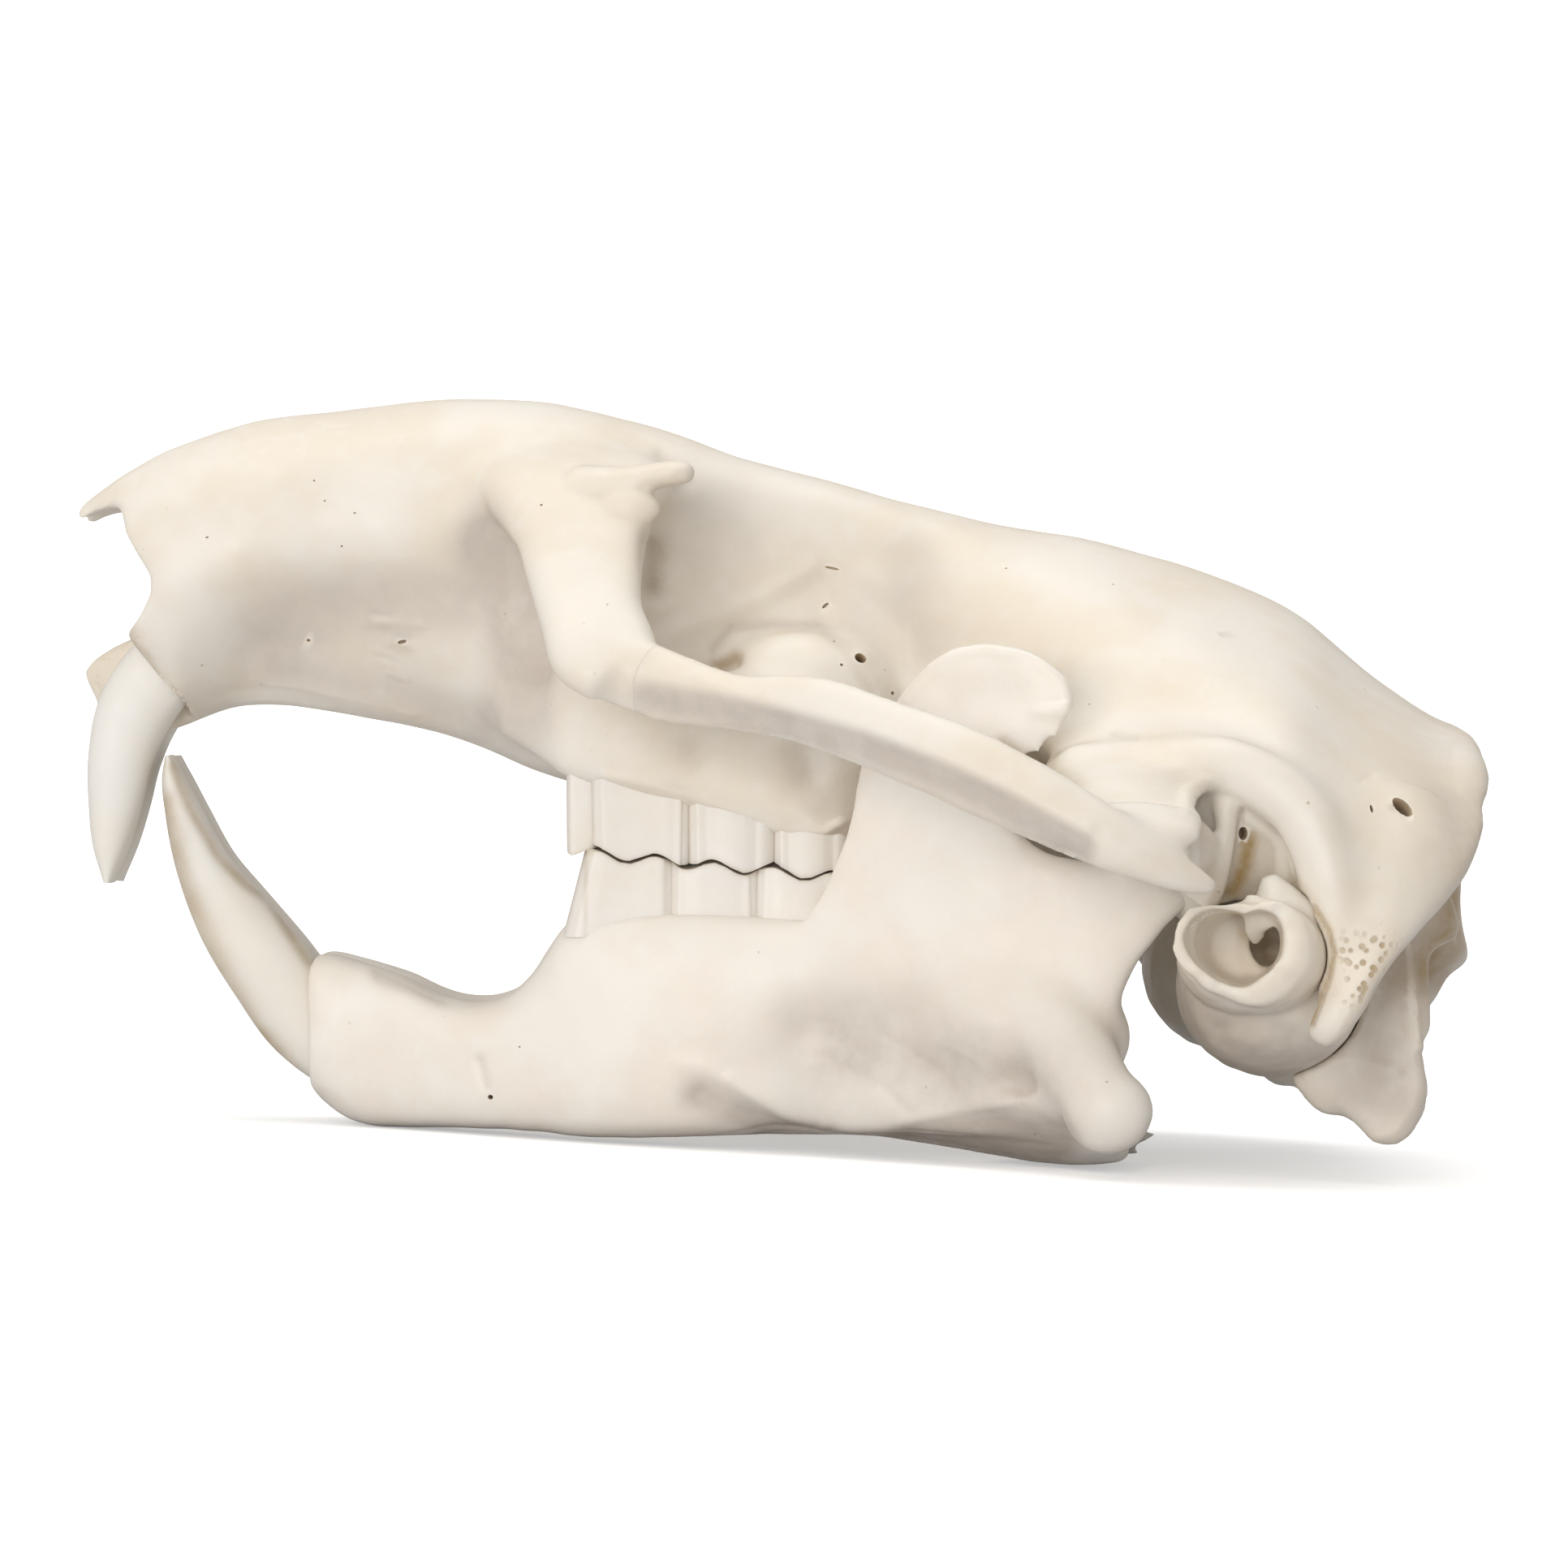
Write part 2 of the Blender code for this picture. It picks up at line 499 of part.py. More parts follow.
def thin(obj, triangles):
    """Leaves an object with about that many triangles."""
    step = obj.modifiers.new("fewer faces", "DECIMATE")
    count = sum(len(face.vertices) - 2 for face in obj.data.polygons)
    step.ratio = min(1.0, triangles / count)
    step.use_collapse_triangulate = True
    apply_modifiers(obj)


def swollen(obj, by, name):
    """A copy whose skin stands out by that much, to cut a clearance."""
    copy = link(name, obj.data.copy())
    step = copy.modifiers.new("clearance", "DISPLACE")
    step.strength = by
    step.mid_level = 0
    apply_modifiers(copy)
    return copy


def incisor(knots, name):
    """A curved front tooth, whose half-width is set fore and aft."""
    return sweep(knots, name, count=14, sides=12, up=(0, 1, 0), square=INCISOR_SQUARENESS)


def ear(name):
    """An ear bubble with its short tube, bored as deep as the tube goes."""
    bulla = ellipsoid(EAR_BULLA, name, 18, 12)
    boolean(bulla, [sweep(EAR_TUBE, "tube", count=8, sides=20)], "UNION")
    boolean(bulla, [sweep(EAR_HOLE, "hole", count=6, sides=18)], "DIFFERENCE")
    return bulla


def cranium():
    """The bone above the jaw with the cheek arches still on it, rounded and thinned."""
    body = trunk(CRANIUM_STATIONS, "cranium")
    sides = both_sides([
        sweep(CHEEK_ROOT, "cheek root", up=(1, 0, 0), sides=24, square=0.75),
        sweep(CHEEK_ARCH, "cheek arch", count=40, square=1.35),
        sweep(SQUAMOSAL_ROOT, "squamosal root"),
        sweep(TOOTH_BEARING, "tooth bearing", square=0.5, upright=True),
        ellipsoid(ROOT_CAPSULE, "root capsule"),
        sweep(OCCIPUT_SIDE, "crest", count=36),
        sweep(MASTOID, "mastoid", up=(1, 0, 0)),
        sweep(TEMPORAL_RIM, "temporal rim", up=(0, 1, 0), count=36),
        sweep(LACRIMAL_KNOB, "lacrimal knob"),
        ellipsoid(LOWER_KNOB, "lower knob"),
        sweep(PTERYGOID, "pterygoid"),
        sweep(PAROCCIPITAL, "paroccipital", up=(0, 1, 0)),
        ellipsoid(CONDYLE, "condyle"),
    ])
    boolean(body, [*sides, sweep(NOSE_FRONT, "nose front"), ellipsoid(NAPE, "nape")], "UNION")
    remesh(body, SKIN_VOXEL)
    relax(body, *CRANIUM_ROUNDS)
    thin(body, CRANIUM_TRIANGLES)
    return body


def part_arches(skull):
    """Cuts both cheek arches from the skull and returns the left one as its own body."""
    cuts = [block(middle, half, "arch cut", *turn) for middle, half, *turn in ARCH_CUTS]
    boolean(skull, both_sides(cuts), "DIFFERENCE")
    arch = link("zygomatic arch", skull.data.copy())
    bodies = loose_bodies(skull)
    at_left = skull.data.polygons[bodies[1][0]].center.y < 0
    keep_body(arch, 1 if at_left else 2)
    keep_body(skull)
    return arch


def open_cranium(skull, incisor_tooth, bulla):
    """Cuts the nose, spine and temple openings and the rooms of the incisors and ears."""
    boolean(skull, [
        slab(NOSE_OPENING, "nose opening", -NOSE_OPENING_REACH, NOSE_OPENING_REACH),
        sweep(SPINE_HOLE, "spine hole", count=12, sides=14),
        *both_sides([
            sweep(TEMPORAL_HOLE, "temporal hole", count=8, sides=14),
            slab(SOCKET_RIM, "socket rim", *SOCKET_REACH),
        ]),
    ], "DIFFERENCE")
    boolean(skull, both_sides([swollen(incisor_tooth, ROOM, "incisor room")]), "DIFFERENCE")
    boolean(skull, [sweep(NOSE_HOLLOW, "nose hollow", count=12, sides=16)], "DIFFERENCE")
    boolean(skull, both_sides([swollen(bulla, ROOM, "bulla room")]), "DIFFERENCE")
    keep_body(skull)


def mandible(incisor_tooth):
    """The left half of the jaw, rounded and thinned, with room for its incisor."""
    body = sweep(JAW_BODY, "mandible", count=60, sides=28, square=0.85, upright=True)
    boolean(body, [
        ramus_plate("ramus"),
        ellipsoid(JAW_JOINT, "jaw joint"),
        sweep(ANGLE_RIB, "angle rib", up=(1, 0, 0)),
        ellipsoid(ANGLE_KNOB, "angle knob"),
        sweep(ANGLE_PLATE, "angle plate", up=ANGLE_PLATE_UP),
        sweep(ANGLE_SHELF, "angle shelf"),
    ], "UNION")
    remesh(body, SKIN_VOXEL)
    relax(body, *JAW_ROUNDS)
    thin(body, JAW_TRIANGLES)
    rooms = [swollen(incisor_tooth, ROOM, "incisor room"), block(*MIDDLE_CUT, "middle cut")]
    boolean(body, rooms, "DIFFERENCE")
    keep_body(body)
    return body


def set_teeth(bone, teeth):
    """Joins cheek teeth to the bone that they grow from."""
    boolean(bone, teeth, "UNION")
    keep_body(bone)


def finish(obj, name, colour, roughness=0.5):
    """Names and paints an object and tips it to its rest, in metres."""
    obj.name = name
    paint = bpy.data.materials.new(name)
    paint.use_nodes = True
    shader = paint.node_tree.nodes["Principled BSDF"]
    shader.inputs["Base Color"].default_value = (*colour, 1)
    shader.inputs["Roughness"].default_value = roughness
    obj.data.materials.clear()
    obj.data.materials.append(paint)
    turn = Matrix.Rotation(-REST_TILT, 4, "Y")
    obj.data.transform(Matrix.Scale(MM, 4) @ Matrix.Translation(REST_PLACE) @ turn)
    obj.data.shade_smooth()


def main():
    """Builds the eleven pieces."""
    for obj in list(bpy.data.objects):
        bpy.data.objects.remove(obj)
    skull = cranium()
    arch = part_arches(skull)
    upper, lower = incisor(UPPER_INCISOR, "upper incisor"), incisor(LOWER_INCISOR, "lower incisor")
    bulla = ear("bulla")
    open_cranium(skull, upper, bulla)
    jaw = mandible(lower)
    left_teeth = [cheek_tooth("upper " + name, *rest, UPPER_ROOT, True) for name, *rest in UPPER_TEETH]
    set_teeth(skull, both_sides(left_teeth))
    set_teeth(jaw, [cheek_tooth("lower " + name, *rest, LOWER_ROOT, False) for name, *rest in LOWER_TEETH])
    pairs = (
        (arch, "zygomatic_arch", BONE),
        (bulla, "auditory_bulla", BONE),
        (upper, "upper_incisor", ENAMEL),
        (lower, "lower_incisor", ENAMEL),
        (jaw, "mandible", BONE),
    )
    for obj, name, colour in pairs:
        other = mirrored(obj, name)
        finish(obj, name + "_left", colour)
        finish(other, name + "_right", colour)
    finish(skull, "cranium", BONE)


main()
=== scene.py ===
"""A mountain beaver's skull, life size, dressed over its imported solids.

Shapes are worked out in millimetres as the camera's picture has them: X from the nose back, the animal's
left side at negative Y, Z up. Placing a finished piece tips it to its rest on the floor, in metres.
"""

import logging
import math
from dataclasses import dataclass
from enum import Enum

import bpy
import numpy as np
from mathutils import Matrix, Vector


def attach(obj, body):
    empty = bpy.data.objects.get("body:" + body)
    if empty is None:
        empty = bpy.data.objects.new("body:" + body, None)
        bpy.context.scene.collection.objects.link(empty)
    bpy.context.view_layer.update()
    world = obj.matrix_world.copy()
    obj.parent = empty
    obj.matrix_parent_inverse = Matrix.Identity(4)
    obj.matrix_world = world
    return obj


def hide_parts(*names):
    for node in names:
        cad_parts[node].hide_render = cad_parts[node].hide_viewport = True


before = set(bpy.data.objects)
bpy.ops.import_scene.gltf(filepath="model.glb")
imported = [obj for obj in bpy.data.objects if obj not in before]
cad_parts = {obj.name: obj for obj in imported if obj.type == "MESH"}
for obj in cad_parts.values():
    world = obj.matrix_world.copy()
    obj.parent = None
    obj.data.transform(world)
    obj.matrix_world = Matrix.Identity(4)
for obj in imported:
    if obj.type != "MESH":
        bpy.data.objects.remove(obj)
log = logging.getLogger("skull")

MM = 0.001
LAYERS = ("shade", "stain", "spongy")

# How the skull rests on its jaw: turned about Y, then moved, in millimetres.
REST_TILT = math.radians(2.4)
REST_PLACE = (1.7, 0.0, -0.45)
REST = Matrix.Translation(REST_PLACE) @ Matrix.Rotation(-REST_TILT, 4, "Y")

# The eye and its picture: 25 picture units to a millimetre at the skull's middle plane.
EYE_DISTANCE = 280.0
EYE_HEIGHT = 18.0
VIEW_WIDTH = 77.3
PICTURE_MIDDLE = 966.0
PICTURE_SCALE = 25.0

# How a mark falls: its furthest reach in widths, and the facing at which it starts and is whole.
MARK_REACH = 3.0
FACING_START = 0.02
FACING_SPAN = 0.2

# Painted shade in hollows: rounds of smoothing, with the depth in millimetres that is darkest after them.
HOLLOWS = {12: 0.13, 120: 0.6}
HOLLOW_START = 0.012

# Painted shade, stain and sponge laid on the walls of drilled holes.
HOLE_SHADE_AND_STAIN = (0.5, 0.6, 0.0)
INCISOR_ROOM = 0.1
SHARP_EDGE = math.radians(60)
COARSE = 1.0


class Side(Enum):
    """The side from which a mark is laid on the bone."""

    LEFT = "left"
    BACK = "back"


class Row(Enum):
    """The row that a cheek tooth stands in."""

    UPPER = "upper"
    LOWER = "lower"


@dataclass(frozen=True)
class Mark:
    """A line or spot worked into a surface, laid on it as one side shows it.

    From the left its path and width are in the picture's own units, 25 to a millimetre; from the back
    they are in millimetres. depth is in millimetres, above zero for a ridge. stain and spongy are shares
    of those tones; shade is a share of painted shade, and below zero a share of painted light. deep is the
    range of distance from the middle plane it reaches, with fade as the width of that range's soft ends.
    edge is the power of its bell: higher is flatter.
    """

    name: str
    path: tuple
    width: float
    depth: float = 0.0
    stain: float = 0.0
    # painted shade; below zero, painted light
    shade: float = 0.0
    spongy: float = 0.0
    side: Side = Side.LEFT
    deep: tuple = (0.0, 60.0)
    fade: float = 1.2
    edge: float = 2.0


@dataclass(frozen=True)
class Hole:
    """A nerve hole or pore, drilled where the picture from the left shows it, and its twin on the right.

    at is its place in the picture's units. long and tall are its half sizes and depth its depth in
    millimetres; lean turns it, in degrees from level.
    """

    name: str
    at: tuple
    long: float = 0.1
    tall: float = 0.1
    depth: float = 0.5
    lean: float = 0.0

    def steps(self) -> tuple:
        """How far in each ring of the bit lies, and its size: wide at the mouth, narrow at the end."""
        return (-0.25, 1.2), (0.0, 1.0), (self.depth, 0.6)


@dataclass(frozen=True)
class Swell:
    """Uneven swells of one size over a skin, in millimetres, from one seed."""

    size: float
    height: float
    seed: int


def power(value: np.ndarray, exponent: float) -> np.ndarray:
    """A signed power, which squares up a circle's sine and cosine."""
    return np.sign(value) * np.abs(value) ** exponent


def along(knots: tuple, count: int) -> np.ndarray:
    """Rows read at even steps from a smooth curve through the knots.

    Args:
        knots: rows whose first three numbers are a place.
        count: how many rows to read.

    Returns:
        The rows, from a cubic Hermite curve by chord length.
    """
    rows = np.asarray(knots, float)
    step = np.linalg.norm(np.diff(rows[:, :3], axis=0), axis=1)
    place = np.concatenate([[0], np.cumsum(step)])
    slope = np.gradient(rows, place, axis=0)
    want = np.linspace(0, place[-1], count)
    i = np.clip(np.searchsorted(place, want, side="right") - 1, 0, len(rows) - 2)
    h = (place[i + 1] - place[i])[:, None]
    t = ((want - place[i]) / h[:, 0])[:, None]
    a, b = 2 * t**3 - 3 * t**2 + 1, t**3 - 2 * t**2 + t
    c, d = 3 * t**2 - 2 * t**3, t**3 - t**2
    return a * rows[i] + b * h * slope[i] + c * rows[i + 1] + d * h * slope[i + 1]


def ripple(place: np.ndarray, size: float, seed: int, waves: int = 8) -> np.ndarray:
    """A smooth uneven value at each place: the sum of a few sine waves that run in random ways.

    Args:
        place: places in millimetres.
        size: the waves' usual length in millimetres.
        seed: what the random ways are drawn from.
        waves: how many waves.

    Returns:
        Values between about -1 and 1.
    """
    random = np.random.default_rng(seed)
    way = random.normal(size=(waves, 3))
    pitch = 2 * math.pi / size * random.uniform(0.6, 1.6, (waves, 1))
    way *= pitch / np.linalg.norm(way, axis=1, keepdims=True)
    return np.sin(place @ way.T + random.uniform(0, 2 * math.pi, waves)).sum(axis=1) / (waves / 2)


def seen(side: Side, place: np.ndarray, normal: np.ndarray) -> tuple:
    """Places as one side shows them.

    Args:
        side: the side to look from.
        place: places in millimetres.
        normal: the surface's outward ways there.

    Returns:
        Two flat coordinates and how squarely the surface faces that side. Left and right are the same.
    """
    x, y, z = place.T
    if side is Side.LEFT:
        near = (EYE_DISTANCE - np.abs(y)) / EYE_DISTANCE
        across = PICTURE_MIDDLE + PICTURE_SCALE * x / near
        down = PICTURE_MIDDLE - PICTURE_SCALE * (z - EYE_HEIGHT) / near
        return across, down, normal[:, 1] * np.sign(y)
    return np.abs(y), z, normal[:, 0]


def mask_of(mark: Mark, place: np.ndarray, normal: np.ndarray) -> np.ndarray:
    """How strongly a mark falls on each place: a bell of the distance to its path, where the surface faces it.

    Args:
        mark: the mark.
        place: places in millimetres.
        normal: the surface's outward ways there.

    Returns:
        Shares from 0 to 1.
    """
    u, v, facing = seen(mark.side, place, normal)
    path = np.asarray(mark.path, float)
    reach = MARK_REACH * mark.width
    low, high = path.min(axis=0) - reach, path.max(axis=0) + reach
    aside = np.abs(place[:, 1])
    inside = (u > low[0]) & (u < high[0]) & (v > low[1]) & (v < high[1]) & (facing > FACING_START)
    inside &= (aside > mark.deep[0]) & (aside < mark.deep[1])
    found = np.flatnonzero(inside)
    from_low = np.clip((aside[found] - mark.deep[0]) / mark.fade, 0, 1)
    from_high = np.clip((mark.deep[1] - aside[found]) / mark.fade, 0, 1)
    near = np.full(len(found), 1e9)
    ends = path[1:] if len(path) > 1 else path + 0.001
    for a, b in zip(path, ends):
        way = b - a
        t = np.clip(((u[found] - a[0]) * way[0] + (v[found] - a[1]) * way[1]) / (way @ way), 0, 1)
        near = np.minimum(near, np.hypot(u[found] - a[0] - t * way[0], v[found] - a[1] - t * way[1]))
    bell = np.exp(-((near / mark.width) ** mark.edge))
    mask = np.zeros(len(place))
    mask[found] = from_low * from_high * bell * np.clip((facing[found] - FACING_START) / FACING_SPAN, 0, 1)
    return mask


@dataclass
class Body:
    """One closed body of bone or tooth while it is being shaped."""

    obj: bpy.types.Object

    @classmethod
    def new(cls, mesh: bpy.types.Mesh, name: str) -> "Body":
        """A body that shows a mesh."""
        obj = bpy.data.objects.new(name, mesh)
        bpy.context.scene.collection.objects.link(obj)
        return cls(obj)

    @classmethod
    def loft(cls, rings: np.ndarray, name: str) -> "Body":
        """A closed body from a stack of rings, with a fan to the middle of each end.

        Args:
            rings: places, by ring, by side and by axis.
            name: the body's name.

        Returns:
            The body. Its faces are turned round where the sum of their signed volumes is negative.
        """
        count, sides = rings.shape[:2]
        place = np.concatenate([rings.reshape(-1, 3), rings[[0, -1]].mean(axis=1)])
        ring, side = np.meshgrid(np.arange(count - 1), np.arange(sides), indexing="ij")
        after = (side + 1) % sides
        a, b = ring * sides + side, ring * sides + after
        wall = np.stack([np.stack([a, b, b + sides], -1), np.stack([a, b + sides, a + sides], -1)]).reshape(-1, 3)
        k = np.arange(sides)
        n, last = (k + 1) % sides, (count - 1) * sides
        ends = np.concatenate([
            np.stack([n, k, np.full(sides, count * sides)], -1),
            np.stack([k + last, n + last, np.full(sides, count * sides + 1)], -1),
        ])
        faces = np.concatenate([wall, ends])
        p, q, r = place[faces].transpose(1, 0, 2)
        if np.einsum("ij,ij->", p, np.cross(q, r)) < 0:
            faces = faces[:, ::-1]
        return cls.new(cls.mesh_of(place, faces, name), name)

    @staticmethod
    def mesh_of(place: np.ndarray, faces: np.ndarray, name: str) -> bpy.types.Mesh:
        """A mesh from places and triangles.

        Args:
            place: the vertices' places, one to a row.
            faces: three vertex numbers to a row.
            name: the mesh's name.

        Returns:
            The mesh.
        """
        mesh = bpy.data.meshes.new(name)
        mesh.vertices.add(len(place))
        mesh.vertices.foreach_set("co", np.asarray(place, np.float32).ravel())
        mesh.loops.add(3 * len(faces))
        mesh.loops.foreach_set("vertex_index", np.asarray(faces, np.int32).ravel())
        mesh.polygons.add(len(faces))
        mesh.polygons.foreach_set("loop_start", np.arange(0, 3 * len(faces), 3, dtype=np.int32))
        mesh.update(calc_edges=True)
        return mesh

    @classmethod
    def ball(cls, centre: tuple, radii: tuple, name: str, rings: int = 40, sides: int = 48) -> "Body":
        """An ellipsoid: rings whose radius and height follow a half circle.

        Args:
            centre: its middle.
            radii: its half sizes along X, Y and Z.
            name: the body's name.
            rings: rings from pole to pole.
            sides: points round it.

        Returns:
            The body.
        """
        rise = np.linspace(0.02, math.pi - 0.02, rings)[:, None]
        turn = np.linspace(0, 2 * math.pi, sides, endpoint=False)[None, :]
        unit = np.stack([np.sin(rise) * np.cos(turn), np.sin(rise) * np.sin(turn), np.cos(rise) + 0 * turn], -1)
        return cls.loft(np.asarray(centre, float) + unit * np.asarray(radii, float), name)

    @classmethod
    def sweep(cls, knots: tuple, name: str, count: int = 60, sides: int = 40, up: tuple = (0, 0, 1),
              square: float = 1.0, upright: bool = False) -> "Body":
        """A rod carried along a curve: at each ring a superellipse across the curve.

        Args:
            knots: rows of x, y, z, half-width across and half-height.
            name: the body's name.
            count: rings along the curve.
            sides: points round it.
            up: the way that half-height is measured towards.
            square: exponent of the ring's sine and cosine, below 1 for a squarer rod.
            upright: whether every ring stands square to X, whatever way the curve goes.

        Returns:
            The body.
        """
        rows = along(knots, count)
        centre, across, tall = rows[:, :3], rows[:, 3], rows[:, 4]
        ahead = np.gradient(centre, axis=0)
        ahead /= np.linalg.norm(ahead, axis=1, keepdims=True)
        side = np.cross(ahead, np.asarray(up, float))
        side /= np.linalg.norm(side, axis=1, keepdims=True)
        over = np.cross(side, ahead)
        if upright:
            side, over = np.zeros_like(side) + (0, 1, 0), np.zeros_like(over) + (0, 0, 1)
        turn = np.linspace(0, 2 * math.pi, sides, endpoint=False)
        u, v = power(np.cos(turn), square), power(np.sin(turn), square)
        rings = centre[:, None] + side[:, None] * (across[:, None] * u)[..., None]
        rings = rings + over[:, None] * (tall[:, None] * v)[..., None]
        return cls.loft(rings, name)

    @classmethod
    def slab(cls, outline: tuple, low: float, high: float, name: str) -> "Body":
        """A side outline of x and z carried straight across from y = low to y = high."""
        flat = np.asarray(outline, float)
        rings = np.stack([np.insert(flat, 1, y, axis=1) for y in (low, high)])
        return cls.loft(rings, name)

    @classmethod
    def box(cls, middle: tuple, half: tuple, name: str, about_z: float = 0, about_y: float = 0) -> "Body":
        """A box about its middle, turned about Y and then about Z.

        Args:
            middle: its middle.
            half: its half sizes along X, Y and Z.
            name: the body's name.
            about_z: degrees about Z.
            about_y: degrees about Y.

        Returns:
            The body.
        """
        x, y, z = half
        flat = np.array([(-x, -z), (x, -z), (x, z), (-x, z)])
        body = cls.loft(np.stack([np.insert(flat, 1, s, axis=1) for s in (-y, y)]), name)
        turn = Matrix.Rotation(math.radians(about_z), 4, "Z") @ Matrix.Rotation(math.radians(about_y), 4, "Y")
        body.obj.data.transform(Matrix.Translation(middle) @ turn)
        return body

    def place(self) -> np.ndarray:
        """Where the vertices are."""
        co = np.empty(len(self.obj.data.vertices) * 3, np.float32)
        self.obj.data.vertices.foreach_get("co", co)
        return co.reshape(-1, 3).astype(float)

    def normal(self) -> np.ndarray:
        """The outward ways of the vertices."""
        way = np.empty(len(self.obj.data.vertices) * 3, np.float32)
        self.obj.data.vertices.foreach_get("normal", way)
        return way.reshape(-1, 3).astype(float)

    def move(self, place: np.ndarray) -> None:
        """Puts the vertices at new places."""
        self.obj.data.vertices.foreach_set("co", place.astype(np.float32).ravel())
        self.obj.data.update()

    def edges(self) -> np.ndarray:
        """Pairs of vertices that share an edge."""
        ends = np.empty(len(self.obj.data.edges) * 2, np.int32)
        self.obj.data.edges.foreach_get("vertices", ends)
        return ends.reshape(-1, 2)

    def neighbours(self) -> tuple:
        """The two ends of each edge, taken both ways round, and how many edges meet at each vertex."""
        a, b = np.concatenate([self.edges(), self.edges()[:, ::-1]]).T
        return a, b, np.bincount(a, minlength=len(self.obj.data.vertices))[:, None]

    @staticmethod
    def mean_beside(place: np.ndarray, neighbours: tuple) -> np.ndarray:
        """The mean place of each vertex's neighbours."""
        a, b, near = neighbours
        return np.stack([np.bincount(a, place[b, k], len(place)) for k in range(3)], axis=1) / near

    def apply(self) -> None:
        """Keeps what the modifiers make as the body's own mesh."""
        graph = bpy.context.evaluated_depsgraph_get()
        made = bpy.data.meshes.new_from_object(self.obj.evaluated_get(graph))
        self.obj.modifiers.clear()
        old, self.obj.data = self.obj.data, made
        bpy.data.meshes.remove(old)

    def combine(self, others: list, operation: str) -> "Body":
        """One Boolean on a collection of closed bodies, which are removed after it.

        Args:
            others: the other bodies.
            operation: "UNION" or "DIFFERENCE".

        Returns:
            This body.
        """
        group = bpy.data.collections.new("operands")
        for other in others:
            group.objects.link(other.obj)
        step = self.obj.modifiers.new("boolean", "BOOLEAN")
        step.operation = operation
        step.operand_type = "COLLECTION"
        step.collection = group
        step.solver = "MANIFOLD"
        self.apply()
        for other in others:
            bpy.data.objects.remove(other.obj)
        bpy.data.collections.remove(group)
        return self

    def join(self, others: list) -> "Body":
        """This body and others as one."""
        return self.combine(others, "UNION")

    def cut(self, others: list) -> "Body":
        """This body without the room of others."""
        return self.combine(others, "DIFFERENCE")

    def mirrored(self) -> "Body":
        """A copy on the other side of the middle plane.

        Returns:
            The copy, whose name ends with _right.
        """
        mesh = self.obj.data.copy()
        mesh.transform(Matrix.Diagonal((1, -1, 1, 1)))
        mesh.flip_normals()
        return Body.new(mesh, self.obj.name + "_right")

    def both(self) -> list:
        """The body and its mirror image."""
        return [self, self.mirrored()]

    @staticmethod
    def pairs(bodies: tuple) -> list:
        """Each body, followed by its mirror image."""
        return [side for body in bodies for side in body.both()]

    def swollen(self, by: float) -> "Body":
        """A copy whose skin stands out by that much."""
        copy = Body.new(self.obj.data.copy(), "room")
        copy.move(copy.place() + by * copy.normal())
        return copy

    def reskin(self, voxel: float) -> "Body":
        """An even skin of faces about one voxel long.


        Returns:
            The same body.
        """
        step = self.obj.modifiers.new("even skin", "REMESH")
        step.mode = "VOXEL"
        step.voxel_size = voxel * COARSE
        self.apply()
        return self

    def relax(self, fill: int, even: int, share: float = 0.6, slide: float = 0.3) -> "Body":
        """Fills creases where parts meet, by moves that only go outwards, then evens the skin a little.

        Args:
            fill: rounds of filling. Each moves a vertex towards the mean of its neighbours, outwards only.
            even: rounds of plain smoothing.
            share: how much of the way a round goes.
            slide: how much of the way along the skin a round of filling keeps.

        Returns:
            The same body.
        """
        neighbours, place = self.neighbours(), self.place()
        fill, even = round(fill / COARSE**2), round(even / COARSE**2)
        for turn in range(fill + even):
            move = self.mean_beside(place, neighbours) - place
            if turn < fill:
                normal = self.normal()
                rise = (move * normal).sum(axis=1, keepdims=True)
                move = normal * np.clip(rise, 0, None) + slide * (move - normal * rise)
            place = place + share * move
            if turn < fill:
                self.move(place)
        self.move(place)
        return self

    def carve(self, marks: tuple) -> "Body":
        """Works the depths of marks into the skin, along its outward ways.

        Args:
            marks: the marks, of which those with a depth are worked in.

        Returns:
            The same body.
        """
        place, normal = self.place(), self.normal()
        depth = np.zeros(len(place))
        for mark in marks:
            if mark.depth:
                log.debug("working in the %s", mark.name)
                depth = depth + mark.depth * mask_of(mark, place, normal)
        self.move(place + normal * depth[:, None])
        return self

    def drill(self, holes: tuple) -> "Body":
        """Drills holes where the eye's lines through their picture places first meet the skin.

        Each bit runs halfway between the line of sight and straight in, and is painted as stained and with painted
        shade.

        Args:
            holes: the holes.

        Returns:
            The same body.
        """
        bpy.context.view_layer.update()
        eye, bits = Vector((0, -EYE_DISTANCE, EYE_HEIGHT)), []
        for hole in holes:
            across, down = ((n - PICTURE_MIDDLE) / PICTURE_SCALE for n in hole.at)
            sight = Vector((across, EYE_DISTANCE, -down)).normalized()
            met, point, outward, _ = self.obj.ray_cast(eye, sight)
            if not met:
                log.warning("no skin behind the %s", hole.name)
                continue
            way = (sight - outward).normalized()
            lean = math.radians(hole.lean)
            rows = [(*(point + way * go), hole.long * size, hole.tall * size) for go, size in hole.steps()]
            bit = Body.sweep(rows, "bit", count=8, sides=14, up=(-math.sin(lean), 0, math.cos(lean)))
            # painted shade and stain on each bit, for the walls of its hole
            for name, value in zip(LAYERS, HOLE_SHADE_AND_STAIN):
                bit.paint(name, np.full(len(bit.obj.data.vertices), value))
            bits += bit.both()
        return self.cut(bits) if bits else self

    def roughen(self, swells: tuple) -> "Body":
        """Works uneven swells into the whole skin one after another, as grown bone has."""
        for swell in swells:
            place = self.place()
            self.move(place + self.normal() * (swell.height * ripple(place, swell.size, swell.seed))[:, None])
        return self

    def layer(self, name: str) -> np.ndarray:
        """The number kept for each vertex under a name."""
        value = np.empty(len(self.obj.data.vertices), np.float32)
        self.obj.data.attributes[name].data.foreach_get("value", value)
        return value

